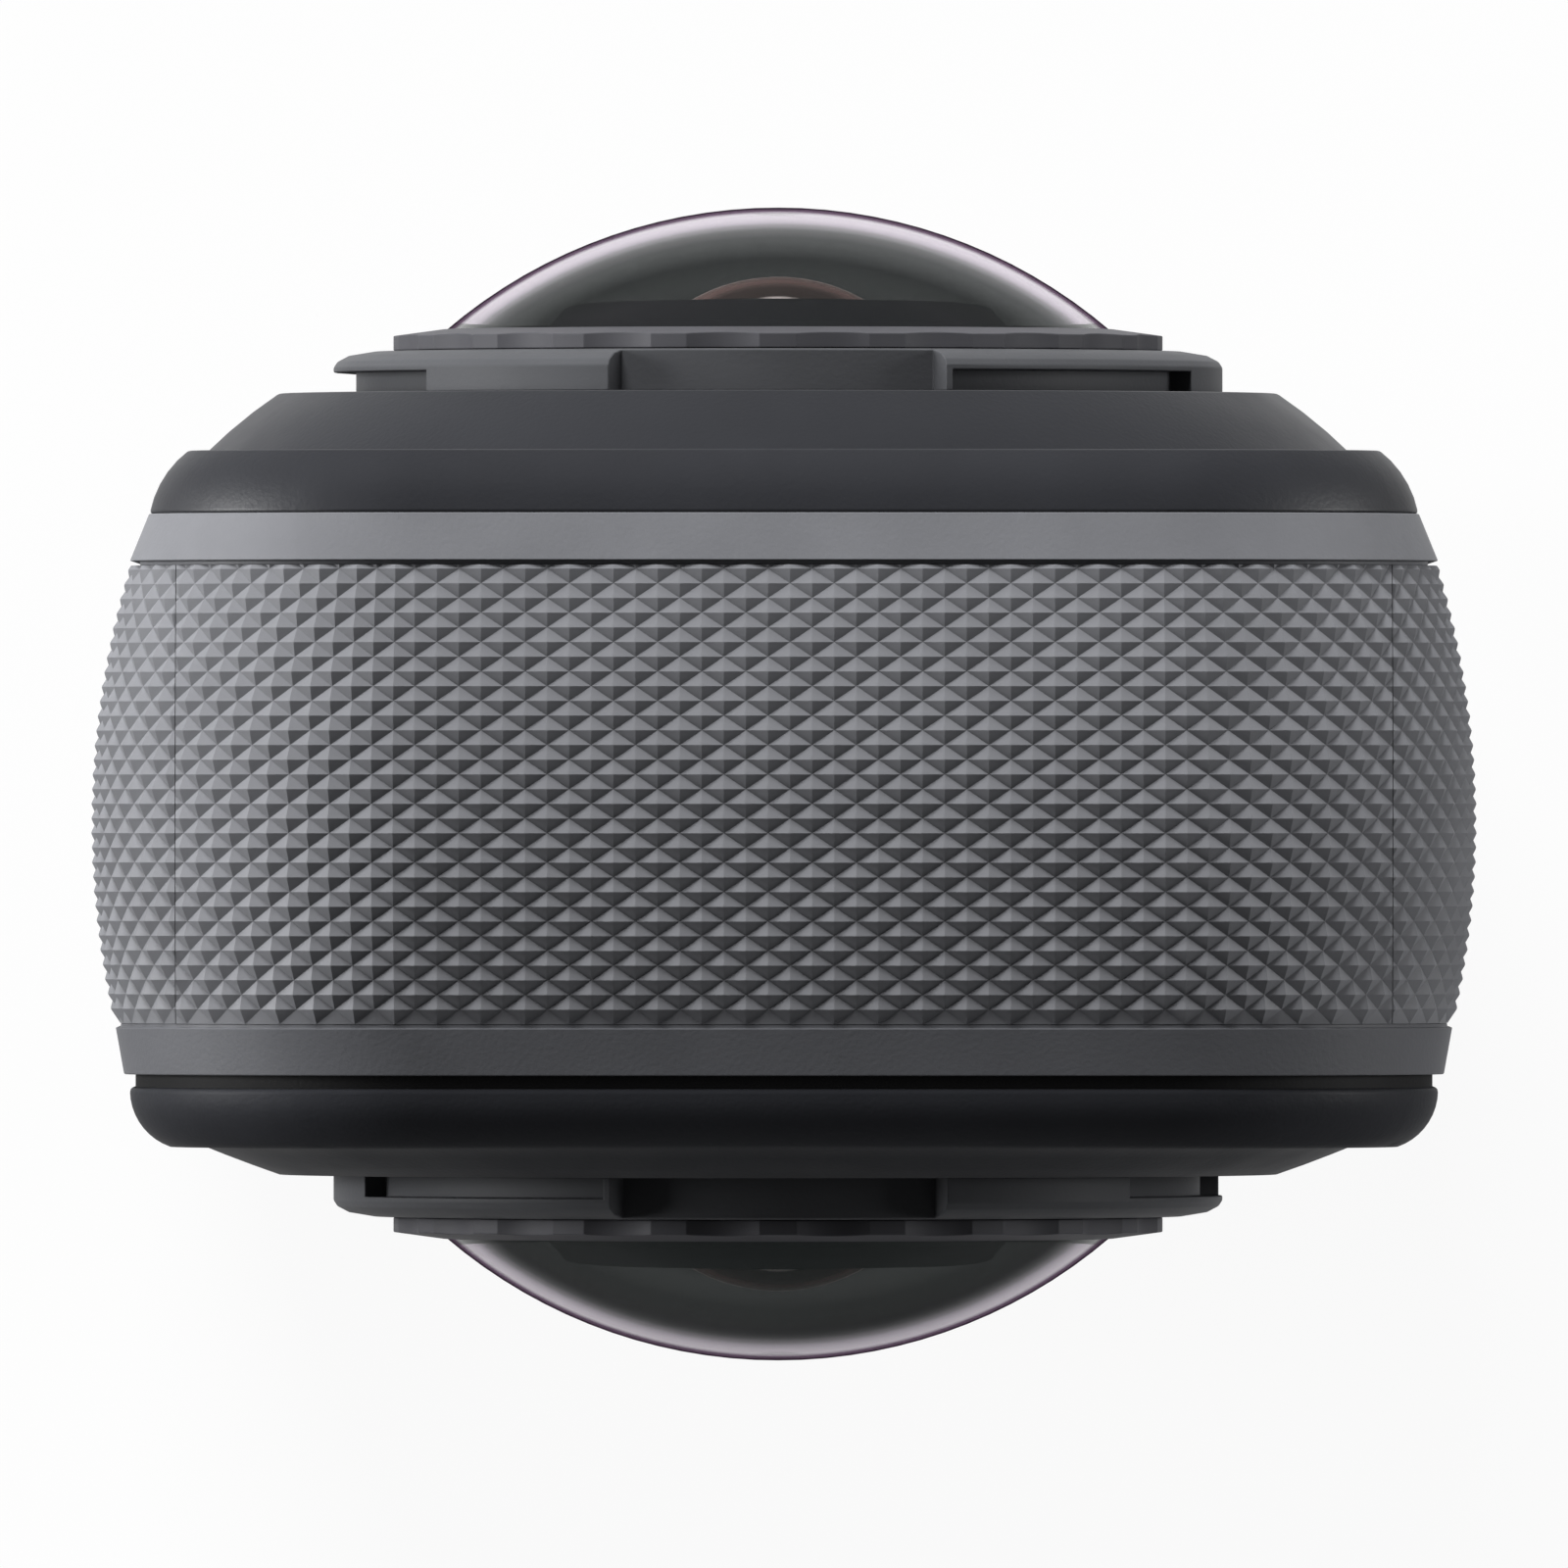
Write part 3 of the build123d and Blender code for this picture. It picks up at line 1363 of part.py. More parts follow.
# Battery with its door, latch, seal and the contacts behind it
battery_corner_radius = 1.0
seal_reach = 0.2  # how far the battery's seal stands out from it
seal_length = 0.9
seal_inset = 0.7  # battery's outer end to the seal
seal_gap = 0.02  # between the battery and its seal
contact_count = 4
contact_pitch = 3.0
contact_width = 1.5
contact_height = 5.0
latch_drop = 7.5  # upper end of the battery down to the middle of the latch
latch_height = 7.0
latch_width = 5.0
latch_travel = 2.0
latch_corner_radius = 1.2
latch_floor_setback = 1.6
latch_top_setback = 0.25
latch_ridge_pitch = 1.2
latch_ridge_count = 4
latch_ridge_width = 0.5
latch_ridge_depth = 0.25

latch_z = battery_head_z - latch_drop
latch_floor_w = half_width - latch_floor_setback
latch_top_w = half_width - latch_top_setback

with BuildPart() as battery_cell:
    with BuildSketch(at_side(battery_end_x)):
        with Locations((battery_y, battery_z)):
            RectangleRounded(battery_thickness, battery_height, battery_corner_radius)
    extrude(amount=-battery_width)
save(battery_cell, "battery_cell")

with BuildPart() as battery_seal:
    with BuildSketch(at_side(battery_end_x - battery_width + seal_inset)):
        with Locations((battery_y, battery_z)):
            RectangleRounded(
                battery_thickness + 2 * seal_reach, battery_height + 2 * seal_reach, battery_corner_radius
            )
            RectangleRounded(
                battery_thickness + 2 * seal_gap,
                battery_height + 2 * seal_gap,
                battery_corner_radius,
                mode=Mode.SUBTRACT,
            )
    extrude(amount=seal_length)
save(battery_seal, "battery_seal")

with BuildPart() as battery_contacts:
    with BuildSketch(at_side(bay_end_x)):
        with Locations((battery_y, battery_z)):
            with GridLocations(contact_pitch, 0, contact_count, 1):
                Rectangle(contact_width, contact_height)
    extrude(amount=battery_end_x - bay_end_x)
save(battery_contacts, "battery_contacts")

with BuildPart() as battery_door:
    add_grip_wall(grip_inner_w + part_gap)
    with BuildSketch(at_side(-half_width - overrun)):
        with Locations((battery_y, door_z)):
            RectangleRounded(door_width, door_height, door_corner_radius)
    extrude(amount=half_width, mode=Mode.INTERSECT)
    # pocket that the latch slides down in
    with BuildSketch(at_side(-latch_floor_w)):
        with Locations((battery_y, latch_z + latch_height / 2 + part_gap)):
            RectangleRounded(
                latch_width + 2 * part_gap,
                latch_height + latch_travel + 2 * part_gap,
                latch_corner_radius,
                align=(Align.CENTER, Align.MAX),
            )
    extrude(amount=-half_width, mode=Mode.SUBTRACT)
save(battery_door, "battery_door")

with BuildPart() as battery_latch:
    with BuildSketch(at_side(-latch_floor_w - bond_gap)):
        with Locations((battery_y, latch_z)):
            RectangleRounded(latch_width, latch_height, latch_corner_radius)
    extrude(amount=latch_floor_w + bond_gap - latch_top_w)
    # grooves for the thumb
    with BuildSketch(at_side(-latch_top_w)):
        with Locations((battery_y, latch_z)):
            with GridLocations(0, latch_ridge_pitch, 1, latch_ridge_count):
                Rectangle(2 * latch_width, latch_ridge_width)
    extrude(amount=latch_ridge_depth, mode=Mode.SUBTRACT)
save(battery_latch, "battery_latch")

# Socket door, its seal and its hinge pin
usb_door_setback = 1.6  # the grip's widest line in to the inside of the door
usb_seal_width = 5.6
usb_seal_height = 11.4
usb_seal_wall = 0.7
usb_seal_gap = 0.1  # to the frame
usb_seal_corner_radius = 2.0

usb_door_inner_w = half_width - usb_door_setback

with BuildPart() as usb_door:
    add_grip_wall(usb_door_inner_w)
    with BuildSketch(at_side(-half_width - overrun)):
        with Locations((usb_pin_y, usb_z)):
            Rectangle(usb_pin_setback + usb_door_reach, usb_door_height, align=(Align.MIN, Align.CENTER))
    extrude(amount=half_width, mode=Mode.INTERSECT)
    with BuildSketch(Plane.XY.offset(usb_z - usb_door_height / 2)):
        with Locations((-usb_pin_w, usb_pin_y)):
            Circle(usb_knuckle_radius)
    extrude(amount=usb_door_height)
    with BuildSketch(Plane.XY.offset(usb_z - usb_door_height / 2)):
        with Locations((-usb_pin_w, usb_pin_y)):
            Circle(usb_pin_radius + running_gap)
    extrude(amount=usb_door_height, mode=Mode.SUBTRACT)
save(usb_door, "usb_door")

with BuildPart() as usb_door_seal:
    with BuildSketch(at_side(-usb_door_inner_w)):
        with Locations((battery_y, usb_z)):
            RectangleRounded(usb_seal_width, usb_seal_height, usb_seal_corner_radius)
            RectangleRounded(
                usb_seal_width - 2 * usb_seal_wall,
                usb_seal_height - 2 * usb_seal_wall,
                usb_seal_corner_radius - usb_seal_wall,
                mode=Mode.SUBTRACT,
            )
    extrude(amount=usb_door_inner_w - frame_outer_w - usb_seal_gap)
save(usb_door_seal, "usb_door_seal")

with BuildPart() as usb_door_pin:
    with BuildSketch(Plane.XY.offset(usb_z - usb_door_height / 2 - usb_pin_tail)):
        with Locations((-usb_pin_w, usb_pin_y)):
            Circle(usb_pin_radius)
    extrude(amount=usb_door_height + 2 * usb_pin_tail)
save(usb_door_pin, "usb_door_pin")

# Buttons: a cap, a hidden rim that keeps it in, and a stem or flat back that works the switch
button_edge_radius = 0.2
shutter_proud = 0.2
shutter_rim = 0.6
shutter_rim_thickness = 0.5
shutter_travel = 0.35
touch_gap = 0.03  # left between a pressed button and its switch

rim_outer_x = grip_inner_w + button_travel + button_rim_thickness
stem_end_x = side_board_x + side_switch_height + plunger_height + button_travel + touch_gap

for name, z in (("power_button", power_button_z), ("quick_button", quick_button_z)):
    with BuildPart() as side_button:
        with BuildSketch(at_side(rim_outer_x)):
            with Locations((battery_y, z)):
                SlotOverall(button_height, button_width, rotation=90)
        extrude(amount=half_width - rim_outer_x)
        fillet(side_button.faces().sort_by(Axis.X)[-1].edges(), button_edge_radius)
        with BuildSketch(at_side(rim_outer_x)):
            with Locations((battery_y, z)):
                SlotOverall(button_height + 2 * button_rim, button_width + 2 * button_rim, rotation=90)
        extrude(amount=-button_rim_thickness)
        with BuildSketch(at_side(stem_end_x)):
            with Locations((battery_y, z)):
                Circle(stem_radius)
        extrude(amount=rim_outer_x - stem_end_x)
    save(side_button, name)

shutter_rim_y = rear_face_y + cover_wall + bond_gap

for name, (x, z) in zip(("lens_switch_button", "shutter_button"), shutter_places):
    with BuildPart() as shutter:
        with BuildSketch(at_depth(shutter_rim_y)):
            with Locations((x, z)):
                SlotOverall(shutter_length, shutter_width)
        extrude(amount=shutter_rim_y - rear_face_y + shutter_proud)
        fillet(shutter.faces().sort_by(Axis.Y)[0].edges(), button_edge_radius)
        with BuildSketch(at_depth(shutter_rim_y)):
            with Locations((x, z)):
                SlotOverall(shutter_length + 2 * shutter_rim, shutter_width + 2 * shutter_rim)
        extrude(amount=-shutter_rim_thickness)
    save(shutter, name)

with BuildPart() as button_seals:
    with BuildSketch(at_side(frame_outer_w - bond_gap)):
        with Locations(*side_button_places):
            Circle(stem_seal_radius - bond_gap)
            Circle(stem_radius + running_gap / 2, mode=Mode.SUBTRACT)
    extrude(amount=bond_gap - stem_seal_thickness)
save(button_seals, "button_seals")
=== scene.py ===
# %% [markdown]
# # A 360 degree camera, seen along its long axis
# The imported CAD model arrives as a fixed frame: every solid is already in its place, in metres,
# and moves with its joints. This lesson dresses it: camera and light first, then the finishes,
# then what is too fine for CAD, the knurl of the grip and the small radius of every edge.

# %% Load the frame
import json
import math

import bmesh
import bpy
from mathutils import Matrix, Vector

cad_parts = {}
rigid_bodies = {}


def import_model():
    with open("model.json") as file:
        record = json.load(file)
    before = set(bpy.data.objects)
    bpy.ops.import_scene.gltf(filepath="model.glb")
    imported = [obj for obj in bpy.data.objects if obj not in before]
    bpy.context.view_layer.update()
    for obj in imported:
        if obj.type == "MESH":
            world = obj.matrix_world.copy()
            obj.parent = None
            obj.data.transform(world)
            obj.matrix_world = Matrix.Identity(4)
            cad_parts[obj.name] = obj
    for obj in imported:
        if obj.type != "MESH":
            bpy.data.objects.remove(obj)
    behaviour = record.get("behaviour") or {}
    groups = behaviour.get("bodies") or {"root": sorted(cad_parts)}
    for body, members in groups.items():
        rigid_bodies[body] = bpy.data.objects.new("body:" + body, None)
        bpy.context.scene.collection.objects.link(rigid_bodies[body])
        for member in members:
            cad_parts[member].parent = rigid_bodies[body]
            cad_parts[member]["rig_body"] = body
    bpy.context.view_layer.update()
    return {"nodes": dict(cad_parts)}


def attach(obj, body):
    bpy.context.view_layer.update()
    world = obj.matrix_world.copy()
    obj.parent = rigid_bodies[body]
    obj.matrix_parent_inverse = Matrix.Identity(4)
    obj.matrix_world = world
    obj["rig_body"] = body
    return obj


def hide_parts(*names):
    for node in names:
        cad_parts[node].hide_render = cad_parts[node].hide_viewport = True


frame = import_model()
MM = 0.001  # the sizes below are written in millimetres
print("nodes:", len(frame["nodes"]))

# %% [markdown]
# ## Camera
# The photograph looks straight down on the top of the camera, from far away: the sides of the
# body hardly show. A short lens near by would show them. So this camera stands well above the
# object with a very long lens. Its picture is 1600 pixels across.

# %% Camera
PICTURE = 1600
PIXELS_PER_MM = 30.54
SENSOR_MM = 36
LENS_AXIS = Vector((-0.2, 0, 101.5)) * MM
CAMERA_DISTANCE = 1.6

field = PICTURE / PIXELS_PER_MM * MM
camera_data = bpy.data.cameras.new("photo camera")
camera_data.sensor_width = SENSOR_MM
camera_data.lens = SENSOR_MM * CAMERA_DISTANCE / field
camera = bpy.data.objects.new("photo camera", camera_data)
camera.location = (0, 0, LENS_AXIS.z + CAMERA_DISTANCE)
bpy.context.scene.collection.objects.link(camera)
bpy.context.scene.camera = camera
bpy.context.scene.view_settings.view_transform = "Standard"
print("lens", round(camera_data.lens), "mm")

# %% [markdown]
# ## Lamps
# The plain front and the left side are the bright ones in the photograph, and the screen side is
# dark. So a large soft lamp stands beyond the plain front, one on the left, and weaker ones on the
# right, on the screen side and below the foot. Only the two at the sides show in mirrors: their
# low reflections are the bright patches at both ends of the covers, and the photograph has no
# others. Each lamp is a square panel, so that shadows and highlights keep soft edges.

# %% Lamps
MIDDLE = (0, 0, 0.1)
FOOT = (0, 0, 0)
SIDE_LAMP = 0.35
LARGE_LAMP = 0.5


def add_lamp(name, place, size, power, aim=MIDDLE, mirrored=True, shown=True):
    """Add a square soft lamp that faces a point of the object."""
    data = bpy.data.lights.new(name, "AREA")
    data.size = size
    data.energy = power
    lamp = bpy.data.objects.new(name, data)
    lamp.location = place
    lamp.rotation_euler = (Vector(aim) - Vector(place)).to_track_quat("-Z", "Y").to_euler()
    lamp.visible_glossy = mirrored
    lamp.visible_camera = shown
    bpy.context.scene.collection.objects.link(lamp)


add_lamp("front lamp", (-0.25, 0.95, 0.5), LARGE_LAMP, 16.0, mirrored=False)
add_lamp("left lamp", (-0.92, 0.1, 0.2), SIDE_LAMP, 8.0)
add_lamp("right lamp", (0.92, 0.1, 0.2), SIDE_LAMP, 3.5)
add_lamp("screen side lamp", (0.2, -0.95, 0.2), SIDE_LAMP, 0.8, mirrored=False)
add_lamp("foot lamp", (0.2, -0.3, -0.9), LARGE_LAMP, 3.0, FOOT, mirrored=False, shown=False)
print("lamps:", len(bpy.data.lights))

# %% [markdown]
# ## Floor and sky
# The object stands on a sheet of pale paper under an evenly white sky. Paper alone would come out
# grey where little light falls on it, and more light would bleach the object. So the paper also
# glows, but only for rays that come from the camera, a mirror or glass: that makes it the white
# of the photograph, and the rest of it still takes a shadow. A mirror sees this white close to
# the object only, and a dim room beyond it, because the covers of the photograph mirror little.

# %% Which rays see the white
FLOOR_HALF = 1.5
FLOOR_GAP = 0.00002  # keeps the foot and the floor from lying in one plane
FLOOR_GLOW = 0.93
PAPER = (0.9, 0.9, 0.9, 1)
SKY_STRENGTH = 0.08
MIRROR_DIM = 0.9
GLOW_NEAR, GLOW_FAR = 0.03, 0.13
GLOW_CENTRE = (0, 0.03, 0)  # on the plain side, so that the screen side mirrors less of it


def add_math(nodes, links, operation, first, second):
    """Add a calculation with two sockets or numbers, and return the socket of its result."""
    node = nodes.new("ShaderNodeMath")
    node.operation = operation
    for value, socket in zip((first, second), node.inputs):
        if isinstance(value, (int, float)):
            socket.default_value = value
        else:
            links.new(value, socket)
    return node.outputs[0]


def ray_flags(nodes, links):
    """Put out 1 for rays seen directly, in a mirror or through glass, and 1 for mirrored rays."""
    path = nodes.new("ShaderNodeLightPath")
    direct = add_math(nodes, links, "MAXIMUM", path.outputs["Is Camera Ray"],
                      path.outputs["Is Transmission Ray"])
    glossy = path.outputs["Is Glossy Ray"]
    return add_math(nodes, links, "MAXIMUM", direct, glossy), glossy


def far_share(nodes, links):
    """Put out 0 close to the object and 1 well away from it."""
    place = nodes.new("ShaderNodeTexCoord")
    reach = nodes.new("ShaderNodeVectorMath")
    reach.operation = "DISTANCE"
    links.new(place.outputs["Object"], reach.inputs[0])
    reach.inputs[1].default_value = GLOW_CENTRE
    fade = nodes.new("ShaderNodeMapRange")
    fade.inputs["From Min"].default_value = GLOW_NEAR
    fade.inputs["From Max"].default_value = GLOW_FAR
    links.new(reach.outputs["Value"], fade.inputs["Value"])
    return fade.outputs["Result"]


print("in mirrors the white fades from", GLOW_NEAR, "to", GLOW_FAR, "m")

# %% Floor
floor_mesh = bpy.data.meshes.new("floor")
floor_mesh.from_pydata(
    [(x * FLOOR_HALF, y * FLOOR_HALF, -FLOOR_GAP) for x, y in ((-1, -1), (1, -1), (1, 1), (-1, 1))],
    [], [(0, 1, 2, 3)])
floor = bpy.data.objects.new("floor", floor_mesh)
bpy.context.scene.collection.objects.link(floor)

floor_material = bpy.data.materials.new("pale floor")
floor_material.use_nodes = True
nodes, links = floor_material.node_tree.nodes, floor_material.node_tree.links
nodes.clear()
paper = nodes.new("ShaderNodeBsdfDiffuse")
paper.inputs["Color"].default_value = PAPER
glow = nodes.new("ShaderNodeEmission")
seen, glossy = ray_flags(nodes, links)
dimmed = add_math(nodes, links, "MULTIPLY", far_share(nodes, links), MIRROR_DIM)
dimmed = add_math(nodes, links, "MULTIPLY", dimmed, glossy)
links.new(add_math(nodes, links, "SUBTRACT", 1, dimmed), glow.inputs["Strength"])
mix = nodes.new("ShaderNodeMixShader")
links.new(add_math(nodes, links, "MULTIPLY", seen, FLOOR_GLOW), mix.inputs[0])
links.new(paper.outputs[0], mix.inputs[1])
links.new(glow.outputs[0], mix.inputs[2])
# seen from below, the floor is clear, so that the foot of the camera can be looked at
path = nodes.new("ShaderNodeLightPath")
below = nodes.new("ShaderNodeNewGeometry").outputs["Backfacing"]
gone = add_math(nodes, links, "MAXIMUM", below, path.outputs["Is Shadow Ray"])
opening = nodes.new("ShaderNodeBsdfTransparent")
whole = nodes.new("ShaderNodeMixShader")
links.new(gone, whole.inputs[0])
links.new(mix.outputs[0], whole.inputs[1])
links.new(opening.outputs[0], whole.inputs[2])
out = nodes.new("ShaderNodeOutputMaterial")
links.new(whole.outputs[0], out.inputs[0])
floor_mesh.materials.append(floor_material)
print("floor:", 2 * FLOOR_HALF, "m wide")

# %% Sky
world = bpy.data.worlds.new("studio")
bpy.context.scene.world = world
world.use_nodes = True
nodes, links = world.node_tree.nodes, world.node_tree.links
nodes.clear()
dim = nodes.new("ShaderNodeBackground")
dim.inputs["Strength"].default_value = SKY_STRENGTH
white = nodes.new("ShaderNodeBackground")
white.inputs["Color"].default_value = (1, 1, 1, 1)
mix = nodes.new("ShaderNodeMixShader")
seen, glossy = ray_flags(nodes, links)
links.new(seen, mix.inputs[0])
dimmed = add_math(nodes, links, "MULTIPLY", glossy, MIRROR_DIM)
links.new(add_math(nodes, links, "SUBTRACT", 1, dimmed), white.inputs["Strength"])
links.new(dim.outputs[0], mix.inputs[1])
links.new(white.outputs[0], mix.inputs[2])
out = nodes.new("ShaderNodeOutputWorld")
links.new(mix.outputs[0], out.inputs[0])
print("sky strength on the object:", SKY_STRENGTH)

# %% [markdown]
# ## Shared surface effects
# Moulded plastic, rubber and anodised metal all carry a fine grain and are never quite one
# colour. A node group holds such an effect once, with a few numbers to set, and each material
# places it with its own numbers. The groups read the object's coordinates, which are the same
# metres as the CAD, so a grain of 0.1 mm stays 0.1 mm on every piece.

# %% Node group: moulded grain
GRAIN_DETAIL, MOTTLE_DETAIL = 3, 4
MOTTLE_LOW, MOTTLE_HIGH = 0.35, 0.65  # the part of the noise that is stretched over the mottle


def new_group(name, inputs, outputs):
    """Make a shader node group with number sockets, and return it with its two end nodes."""
    group = bpy.data.node_groups.new(name, "ShaderNodeTree")
    for label, value in inputs:
        socket = group.interface.new_socket(label, in_out="INPUT", socket_type="NodeSocketFloat")
        socket.default_value = value
    for label in outputs:
        group.interface.new_socket(label, in_out="OUTPUT", socket_type="NodeSocketFloat")
    return group, group.nodes.new("NodeGroupInput"), group.nodes.new("NodeGroupOutput")


grain_group, start, end = new_group(
    "moulded grain", [("Grain per metre", 6000.0), ("Mottle per metre", 300.0)], ["Height", "Mottle"])
place = grain_group.nodes.new("ShaderNodeTexCoord")
fine = grain_group.nodes.new("ShaderNodeTexNoise")
fine.inputs["Detail"].default_value = GRAIN_DETAIL
coarse = grain_group.nodes.new("ShaderNodeTexNoise")
coarse.inputs["Detail"].default_value = MOTTLE_DETAIL
for noise, label in ((fine, "Grain per metre"), (coarse, "Mottle per metre")):
    grain_group.links.new(place.outputs["Object"], noise.inputs["Vector"])
    grain_group.links.new(start.outputs[label], noise.inputs["Scale"])
spread = grain_group.nodes.new("ShaderNodeMapRange")
spread.inputs["From Min"].default_value = MOTTLE_LOW
spread.inputs["From Max"].default_value = MOTTLE_HIGH
grain_group.links.new(coarse.outputs["Fac"], spread.inputs["Value"])
grain_group.links.new(fine.outputs["Fac"], end.inputs["Height"])
grain_group.links.new(spread.outputs["Result"], end.inputs["Mottle"])
print("node group:", grain_group.name)

# %% [markdown]
# The lens rings and barrels are turned on a lathe, or moulded in a turned tool, and carry fine
# rings round the lens axis. Noise that is read only by the distance from that axis and by the
# depth along it gives rings of uneven strength, as a tool leaves them.

# %% Node group: turned rings round the lens axis
RING_DETAIL = 2

rings_group, start, end = new_group("turned rings", [("Rings per metre", 12000.0)], ["Height"])
place = rings_group.nodes.new("ShaderNodeTexCoord")
split = rings_group.nodes.new("ShaderNodeSeparateXYZ")
rings_group.links.new(place.outputs["Object"], split.inputs[0])
flat = rings_group.nodes.new("ShaderNodeCombineXYZ")
for axis, middle in (("X", LENS_AXIS.x), ("Z", LENS_AXIS.z)):
    shift = rings_group.nodes.new("ShaderNodeMath")
    shift.operation = "SUBTRACT"
    shift.inputs[1].default_value = middle
    rings_group.links.new(split.outputs[axis], shift.inputs[0])
    rings_group.links.new(shift.outputs[0], flat.inputs[axis])
reach = rings_group.nodes.new("ShaderNodeVectorMath")
reach.operation = "LENGTH"
rings_group.links.new(flat.outputs[0], reach.inputs[0])
radial = rings_group.nodes.new("ShaderNodeCombineXYZ")
rings_group.links.new(reach.outputs["Value"], radial.inputs["X"])
rings_group.links.new(split.outputs["Y"], radial.inputs["Y"])
lines = rings_group.nodes.new("ShaderNodeTexNoise")
lines.inputs["Detail"].default_value = RING_DETAIL
rings_group.links.new(radial.outputs[0], lines.inputs["Vector"])
rings_group.links.new(start.outputs["Rings per metre"], lines.inputs["Scale"])
rings_group.links.new(lines.outputs["Fac"], end.inputs["Height"])
print("node group:", rings_group.name)

# %% [markdown]
# ## Finishes
# One function makes a finish from the numbers that set it apart: its colour, how rough it is,
# how deep its grain is. Each of the record's material slots gets one, and every CAD solid then
# takes the finish that carries the name of its slot.
#
# The grip is a soft grey rubber. The covers and the bayonet seats are moulded plastic with a fine
# grain, dull enough to need a low mirror share; only the front cover is a little glossier. The
# trim bands look like matt anodised metal, which shows no clear mirror image, so plain grey does
# the same and keeps its tone under other light. Screws, frame, contacts and the tripod insert are
# real metal. The boards, films and cells inside only show with a door open, and get simple
# colours. A faint mottle, with a roughness that follows it, keeps large faces from looking flat.

# %% A finish from its numbers
METAL_MIRROR = 0.5


def linear(red, green, blue):
    """Turn a screen colour of 0 to 255 into the linear colour that a shader takes."""
    values = [c / 255 for c in (red, green, blue)]
    return [c / 12.92 if c <= 0.04045 else ((c + 0.055) / 1.055) ** 2.4 for c in values] + [1]


def add_finish(name, colour, roughness, metallic=0.0, grain=6000.0, grain_depth=0.01, mottle=0.04,
               rough_spread=0.06, rings=0.0, specular=0.2):
    """Make a material: a colour with a mottle, a roughness that varies, and a grain in mm."""
    material = bpy.data.materials.new(name)
    material.use_nodes = True
    tree = material.node_tree
    shader = tree.nodes["Principled BSDF"]
    shader.inputs["Metallic"].default_value = metallic
    shader.inputs["Specular IOR Level"].default_value = METAL_MIRROR if metallic else specular
    surface = tree.nodes.new("ShaderNodeGroup")
    surface.node_tree = grain_group
    surface.inputs["Grain per metre"].default_value = grain
    tint = tree.nodes.new("ShaderNodeMix")
    tint.data_type = "RGBA"
    base = linear(*colour)
    tint.inputs["A"].default_value = [c * (1 - mottle) for c in base[:3]] + [1]
    tint.inputs["B"].default_value = [min(c * (1 + mottle), 1) for c in base[:3]] + [1]
    tree.links.new(surface.outputs["Mottle"], tint.inputs["Factor"])
    tree.links.new(tint.outputs["Result"], shader.inputs["Base Color"])
    gloss = tree.nodes.new("ShaderNodeMapRange")
    gloss.inputs["To Min"].default_value = roughness - rough_spread / 2
    gloss.inputs["To Max"].default_value = roughness + rough_spread / 2
    tree.links.new(surface.outputs["Mottle"], gloss.inputs["Value"])
    tree.links.new(gloss.outputs["Result"], shader.inputs["Roughness"])
    bump = tree.nodes.new("ShaderNodeBump")
    bump.inputs["Strength"].default_value = 1
    bump.inputs["Distance"].default_value = (rings or grain_depth) * MM
    tree.links.new(bump.outputs["Normal"], shader.inputs["Normal"])
    if rings:
        turned = tree.nodes.new("ShaderNodeGroup")
        turned.node_tree = rings_group
        tree.links.new(turned.outputs["Height"], bump.inputs["Height"])
    else:
        tree.links.new(surface.outputs["Height"], bump.inputs["Height"])
    return material


# %% The finishes
LOOKS = {
    "frame_metal": dict(colour=(120, 121, 124), roughness=0.45, metallic=1.0),
    "grip_rubber": dict(colour=(122, 123, 127), roughness=0.5, grain=9000, grain_depth=0.006),
    "cover_black": dict(colour=(45, 46, 50), roughness=0.46, grain_depth=0.012, specular=0.55),
    "rear_black": dict(colour=(48, 49, 53), roughness=0.5, grain_depth=0.010, specular=0.1),
    "front_band_grey": dict(colour=(116, 117, 121), roughness=0.5),
    # painted shade: this band is a darker grey than the front band, for the dim screen side
    "rear_band_grey": dict(colour=(96, 97, 101), roughness=0.5),
    "seal_rubber": dict(colour=(28, 28, 29), roughness=0.7),
    "base_grey": dict(colour=(70, 71, 74), roughness=0.5),
    "thread_steel": dict(colour=(168, 168, 166), roughness=0.3, metallic=1.0, grain_depth=0.004),
    "screw_steel": dict(colour=(70, 70, 72), roughness=0.35, metallic=1.0, grain_depth=0.004),
    "seat_black": dict(colour=(80, 81, 84), roughness=0.5, grain_depth=0.008, specular=0.08),
    "ring_black": dict(colour=(80, 80, 84), roughness=0.52, rings=0.002, specular=0.08),
    "barrel_black": dict(colour=(34, 31, 36), roughness=0.6, rings=0.006),
    "board_green": dict(colour=(20, 62, 44), roughness=0.4),
    "sensor_dark": dict(colour=(30, 32, 48), roughness=0.15, grain_depth=0.001),
    "copper": dict(colour=(190, 120, 88), roughness=0.35, metallic=1.0, grain_depth=0.004),
    "bright_steel": dict(colour=(190, 190, 188), roughness=0.28, metallic=1.0, grain_depth=0.003),
    "contact_gold": dict(colour=(220, 180, 96), roughness=0.25, metallic=1.0, grain_depth=0.002),
    "screen_glass": dict(colour=(12, 12, 14), roughness=0.06, grain_depth=0.0005, mottle=0.02,
                         rough_spread=0.01),
    "display": dict(colour=(16, 17, 20), roughness=0.2, grain_depth=0.001),
    "switch_black": dict(colour=(30, 30, 32), roughness=0.5),
    "speaker_black": dict(colour=(26, 26, 28), roughness=0.6),
    "light_pipe": dict(colour=(196, 198, 200), roughness=0.3, grain_depth=0.002),
    "antenna_film": dict(colour=(200, 150, 90), roughness=0.4),
    "cell_wrap": dict(colour=(44, 45, 48), roughness=0.45),
    "card_black": dict(colour=(24, 24, 26), roughness=0.45),
    "button_grey": dict(colour=(90, 91, 95), roughness=0.45),
}
finishes = {name: add_finish(name, **look) for name, look in LOOKS.items()}
print("finishes:", len(finishes))
